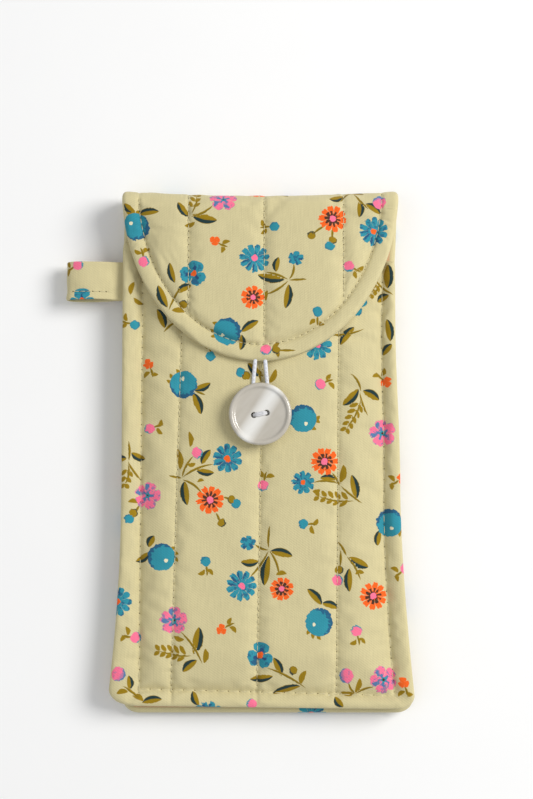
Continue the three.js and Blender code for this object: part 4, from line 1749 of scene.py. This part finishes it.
def make_back(materials):
    pad = make_pad("back", back_pattern(), back_point, 1, materials, None)
    outer = pad[0]
    heights = np.linspace(BACK_FOOT + BORDER, FOLD_START, 120)
    left, *quilts, right = [np.stack([x, heights], axis=1) for x in back_lines(heights)]
    xs = np.linspace(left[0, 0], right[0, 0], 60)
    foot = np.stack([xs, np.full(len(xs), BACK_FOOT + BORDER)], axis=1)
    holes = {name: holes_along(line) for name, line in zip(quilting("back"), quilts)}
    border = {"left": left, "right": right, "foot": foot}
    border = {side: holes_along(line, SEAM_PITCH) for side, line in border.items()}
    dimple(outer, np.vstack([*holes.values(), *border.values()]), -1)
    print_cloth(outer, *back_print())
    find = surface_finder(outer, 1)
    for name, flat in holes.items():
        line = stitches(f"{name}_stitches", flat, find, materials["thread"])
        attach(line, "pouch", "thread", name)
    for side, flat in border.items():
        line = stitches(f"back_{side}_seam_stitches", flat, find, materials["thread"], SEAM_PITCH)
        attach(line, "pouch", "thread")

    def place(piece):
        ride_between(piece)

    declare_pad(pad, ["back", "fold"], place)


def to_cloth(entries):
    """Flap motifs placed as they are seen from above, as places in the flap's cloth."""
    out = []
    for kind, x, y, angle, *rest in entries:
        drop = FOLD_START - y
        v = FLAP_ORIGIN + BEND + drop if drop > 0 else FLAP_ORIGIN + BEND + drop * 1.35
        out.append((kind, x, v, -angle, *rest))
    return out


def make_flap(materials):
    pad = make_pad("flap", flap_pattern(), flap_point, 2, materials, flap_seams)
    outer = pad[0]
    half, reach = FLAP_HALF - BORDER, FLAP_REACH - BORDER
    angles = np.linspace(0.02, math.pi - 0.02, 240)
    ellipse = np.stack([half * np.cos(angles), FLAP_ORIGIN + reach * np.sin(angles)], axis=1)
    holes = {"flap_topstitch": holes_along(ellipse)}
    for name, x in zip(quilting("flap"), FLAP_LINES):
        end = FLAP_ORIGIN + reach * math.sqrt(1 - (x / half) ** 2)
        holes[name] = holes_along([(x, FLAP_ORIGIN - 1.5), (x, end - 1)])
    dimple(outer, np.vstack([*holes.values()]))
    blooms, leaves = with_sprouts(FLAP_BLOOMS, FLAP_LEAVES, FLAP_SPROUTS)
    print_cloth(outer, to_cloth(blooms) + SPINE_BLOOMS, to_cloth(leaves) + SPINE_LEAVES)
    find = surface_finder(outer, -1)
    for name, flat in holes.items():
        line = stitches(f"{name}_stitches", plan_of(flat), find, materials["thread"])
        attach(line, "flap", "thread", name)

    def place(piece):
        ride_between(piece)

    declare_pad(pad, ["flap"], place)


def tube_uv(obj, sides, step):
    """UVs in mm along a tube made by tube(), and in radians round it."""
    mesh = obj.data
    uv = []
    for polygon in mesh.polygons:
        corners = list(polygon.vertices)
        ks = [c % sides for c in corners]
        wrap = max(ks) - min(ks) > sides / 2
        for c, k in zip(corners, ks):
            k = k + sides if wrap and k < sides / 2 else k
            uv.append((k / sides * 2 * math.pi, (c // sides) * step))
    corner_uv(mesh, "cloth", np.array(uv))


def elastic_route():
    """Out of the flap's tip, round the shank under the button, and back."""
    leg = [(-1.7, 31.9, 13.8), (-2.4, 24.06, 12.5), (-3.1, 15.24, 12.3)]
    turn = []
    for k in range(7):
        angle = math.pi * (1 + k / 6)
        turn.append((3.1 * math.cos(angle), 12.7 + 3.1 * math.sin(angle), 12.3))
    back = [(-x, y, z) for x, y, z in reversed(leg)]
    return spline(leg + turn + back, 121)


def make_elastic(materials):
    path = elastic_route()
    length = distances_along(path)[-1]
    sides = 14
    elastic = new_object("elastic_cord", *tube(path, ELASTIC / 2, sides), materials["elastic"])
    tube_uv(elastic, sides, length / (len(path) - 1))
    ride_between(elastic)
    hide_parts("elastic_loop")
    tails = []
    for side in (-1, 1):
        route = [(1.7 * side, 32.1, 13.8), (1.9 * side, 33.6, 13.6), (2.2 * side, 35.4, 13.2)]
        tails.append(tube(spline(route, 12), ELASTIC / 2 * 0.85, 10))
    tail = new_object("elastic_tail_ends", *joined(tails), materials["elastic"])
    corner_uv(tail.data, "cloth", np.zeros((len(tail.data.loops), 2)))
    attach(tail, "flap", "elastic", "elastic_tails")


# The button's section from its centre underneath to its centre on top, as shares of its radius
# and thickness
BUTTON_SECTION = (
    (0, 0), (0.3, 0), (0.6, 0), (0.8, 0.06), (0.9, 0.18), (0.965, 0.38), (0.995, 0.58),
    (1.0, 0.7), (0.99, 0.83), (0.965, 0.94), (0.935, 0.99), (0.905, 1.0), (0.875, 0.97),
    (0.85, 0.9), (0.825, 0.82), (0.8, 0.77), (0.765, 0.745), (0.7, 0.725), (0.55, 0.69),
    (0.35, 0.655), (0.15, 0.64), (0, 0.635),
)
# Height and radius of a thread hole, which flares at the top (mm)
HOLE_SECTION = ((-1, 1.0), (1.35, 0.95), (1.72, 0.98), (2.1, 1.35), (4, 3.0))


def button_disc(material):
    """The button turned from its section, before its holes are cut."""
    turns = 128
    vertices = [(0, 0, 0)]
    for r, z in BUTTON_SECTION[1:-1]:
        r, z = r * BUTTON_RADIUS, z * BUTTON_THICKNESS
        for k in range(turns):
            angle = 2 * math.pi * k / turns
            vertices.append((r * math.cos(angle), r * math.sin(angle), z))
    top = len(vertices)
    vertices.append((0, 0, BUTTON_SECTION[-1][1] * BUTTON_THICKNESS))
    last = top - turns
    faces = []
    for k in range(turns):
        n = (k + 1) % turns
        faces.append((0, 1 + n, 1 + k))
        for a in range(1, last, turns):
            faces.append((a + k, a + n, a + turns + n, a + turns + k))
        faces.append((last + k, last + n, top))
    return new_object("button_disc", vertices, faces, material)


def hole_cutter(side):
    """What is cut away for one thread hole."""
    vertices = []
    for z, r in HOLE_SECTION:
        for angle in np.linspace(0, 2 * math.pi, 33)[:-1]:
            vertices.append((side * HOLE_SPACING / 2 + r * math.cos(angle), r * math.sin(angle), z))
    return new_object(f"hole_cutter_{side}", vertices, closed_rings(len(HOLE_SECTION), 32))


def cut_holes(button):
    cutters = [hole_cutter(side) for side in (-1, 1)]
    for cutter in cutters:
        modifier = button.modifiers.new("hole", "BOOLEAN")
        modifier.operation = "DIFFERENCE"
        modifier.solver = "EXACT"
        modifier.object = cutter
    apply_modifiers(button)
    for cutter in cutters:
        bpy.data.objects.remove(cutter)


def button_strands():
    """Three threads down through both holes, the middle one on top."""
    reach = HOLE_SPACING / 2
    strands = []
    for lane, crest in ((-0.42, 2.5), (0.0, 2.62), (0.42, 2.5)):
        half = [
            (reach + 0.1, lane * 0.7, 0.2),
            (reach - 0.1, lane * 0.8, 1.5),
            (reach * 0.62, lane * 1.1, crest - 0.12),
        ]
        route = [(-x, y, z) for x, y, z in half] + [(0, lane * 1.2, crest)] + half[::-1]
        strands.append(tube(spline(route, 28), 0.24, 8))
    return joined(strands)


def shank_winding():
    """Thread wound round the core of the shank."""
    winding = []
    for k in range(97):
        angle = 2 * math.pi * k / 16
        x, y = 0.75 * math.cos(angle), 0.75 * math.sin(angle)
        winding.append((x, BUTTON_Y + y, 12.6 + 1.15 * k / 96))
    core = spline([(0, BUTTON_Y, 12.35), (0, BUTTON_Y, 13.2), (0, BUTTON_Y, 14.0)], 9)
    return joined([tube(winding, 0.22, 6), tube(core, 0.62, 10)])


def make_button(materials):
    """A two-hole button, its thread and the shank beneath."""
    turn = Matrix.Translation(m(0, BUTTON_Y, BUTTON_BASE)) @ Matrix.Rotation(BUTTON_TURN, 4, "Z")
    button = button_disc(materials["pearl"])
    cut_holes(button)
    button.data.transform(turn)
    button.data.polygons.foreach_set("use_smooth", [True] * len(button.data.polygons))
    button.data.set_sharp_from_angle(angle=math.radians(40))
    attach(button, "button", "pearl_button", "button")
    thread = new_object("button_thread_strands", *button_strands(), materials["white_thread"])
    thread.data.transform(turn)
    attach(thread, "button", "thread", "button_thread")
    shank = new_object("shank_winding", *shank_winding(), materials["thread"])
    attach(shank, "pouch", "thread", "thread_shank")


# The tab's strip, from the seam out underneath, round the nose and back on top: x, and height
# above its hinge (mm)
TAB_ROUTE = (
    (-46.8, -0.55), (-50.5, -0.6), (-54, -1.5), (-58.5, -2.3), (-63.5, -2.55),
    (-66.8, -2.2), (-68.25, -1.0), (-68.4, 0.3), (-67.3, 1.7),
    (-64.2, 2.45), (-59, 2.5), (-54.2, 1.6), (-50.5, 0.6), (-46.8, 0.5),
)
TAB_PLY = 0.45  # half the strip's thickness
TAB_STITCHING = 3.0  # from the tab's lower edge to its stitches


def tab_section():
    """Round the strip's section: places from -1 to 1 across it, and which face they are on."""
    edge = [0.86, 0.93, 0.975, 1.0]
    across = [-a for a in reversed(edge)] + list(np.linspace(-0.78, 0.78, 13)) + edge
    return [(a, 1) for a in across] + [(a, -1) for a in across[-2:0:-1]]


def tab_strip(line):
    """Vertices and faces of the strip along line, and each vertex's place in its cloth."""
    half = TAB_WIDTH / 2
    section = tab_section()
    tangents = np.gradient(line, axis=0)
    tangents /= np.linalg.norm(tangents, axis=1)[:, None]
    lengths = distances_along(line)
    rows = len(line)
    vertices, places = [], []
    for i, (point, tangent, length) in enumerate(zip(line, tangents, lengths)):
        normal = np.array([tangent[2], 0, -tangent[0]])
        free = ease(0, 0.25, min(i, rows - 1 - i) / rows)
        flare = 1 + 0.035 * free * math.sin(length * 0.13)
        for a, face in section:
            rounding = math.sqrt(max(0, 1 - max(0, (abs(a) - 0.9) / 0.1) ** 2))
            y = TAB_PIVOT[1] + a * half * (flare if a < 0 else 1)
            ripple = 0.16 * free * float(waves(length, a * 9, 71, 9))
            thick = TAB_PLY * (0.25 + 0.75 * rounding)
            seam = 0.22 * math.exp(-(((a * half + half - TAB_STITCHING) / 0.8) ** 2))
            offset = face * (thick - seam * (face < 0)) * (1 if abs(a) < 1 else 0)
            vertices.append(point + normal * (offset + ripple) + np.array([0, y, 0]))
            places.append((length + 8, a * half))
    return vertices, closed_rings(rows, len(section)), places


def make_tab(materials):
    """A folded strip, open as a flat loop, with a turned edge on each side."""
    route = spline([(x, 0, TAB_PIVOT[2] + height) for x, height in TAB_ROUTE], 72)
    vertices, faces, places = tab_strip(route)
    tab = new_object("tab_loop_cloth", vertices, faces, materials["print"])
    uv = [places[c] for polygon in tab.data.polygons for c in polygon.vertices]
    corner_uv(tab.data, "print", np.array(uv))
    face_outward(tab)
    subdivide(tab, 1)
    print_cloth(tab, *with_sprouts(TAB_BLOOMS, TAB_LEAVES, TAB_SPROUTS))
    y = TAB_PIVOT[1] - TAB_WIDTH / 2 + TAB_STITCHING
    holes = holes_along([(-66.5, y), (-50.6, y)])
    line = stitches("tab_stitches", holes, surface_finder(tab, -1), materials["thread"])
    for piece in (tab, line):
        ride_between(piece)
    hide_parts("tab_loop", "tab_root")
    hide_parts("tab_topstitch")


def make_materials():
    return {
        "print": printed_cotton("printed_cotton"),
        "lining": plain_cotton("lining_cotton", LINING),
        "wadding": wadding_material("wadding"),
        "thread": sewing_thread("cotton_thread", THREAD),
        "white_thread": sewing_thread("white_thread", WHITE_THREAD),
        "elastic": elastic_material("knitted_elastic"),
        "pearl": pearl_material("pearl"),
    }


# ---- Floor, light and camera


def make_stage():
    corners = [(x * FLOOR_SIZE, y * FLOOR_SIZE, FLOOR_Z) for x, y in ((-1, -1), (1, -1), (1, 1), (-1, 1))]
    floor = new_object("floor", corners, [(0, 1, 2, 3)], floor_material("pale_floor"))


def area_light(name, position, target, size, power, colour):
    light = bpy.data.lights.new(name, "AREA")
    light.shape = "DISK"
    light.size = size
    light.energy = power
    light.color = colour
    obj = bpy.data.objects.new(name, light)
    obj.location = position
    obj.rotation_euler = (Vector(target) - Vector(position)).to_track_quat("-Z", "Y").to_euler()
    bpy.context.scene.collection.objects.link(obj)


def make_lights():
    area_light("key", (1.05, 0.4, 0.98), (0, 0, 0), 0.8, 18.5, (1.0, 0.985, 0.96))
    area_light("fill", (-0.6, -0.3, 1.2), (0, 0, 0), 1.4, 3, (0.97, 0.985, 1.0))
    world = bpy.data.worlds.new("studio")
    world.use_nodes = True
    background = world.node_tree.nodes["Background"]
    background.inputs["Color"].default_value = (0.97, 0.985, 1.0, 1)
    background.inputs["Strength"].default_value = 0.42
    bpy.context.scene.world = world
    bpy.context.scene.view_settings.view_transform = "Standard"


def make_camera():
    """Looks almost straight down, from in front of the case's foot."""
    camera = bpy.data.cameras.new("camera")
    camera.lens = 85
    camera.clip_start = 0.01
    obj = bpy.data.objects.new("camera", camera)
    away = Vector((0, -math.cos(CAMERA_ELEVATION), math.sin(CAMERA_ELEVATION)))
    obj.location = Vector(m(*CAMERA_TARGET)) + away * CAMERA_DISTANCE
    obj.rotation_euler = (-away).to_track_quat("-Z", "Y").to_euler()
    bpy.context.scene.collection.objects.link(obj)
    bpy.context.scene.camera = obj


make_stage()
make_lights()
make_camera()
finishes = make_materials()
make_elastic(finishes)
make_front(finishes)
make_back(finishes)
make_flap(finishes)
make_button(finishes)
make_tab(finishes)
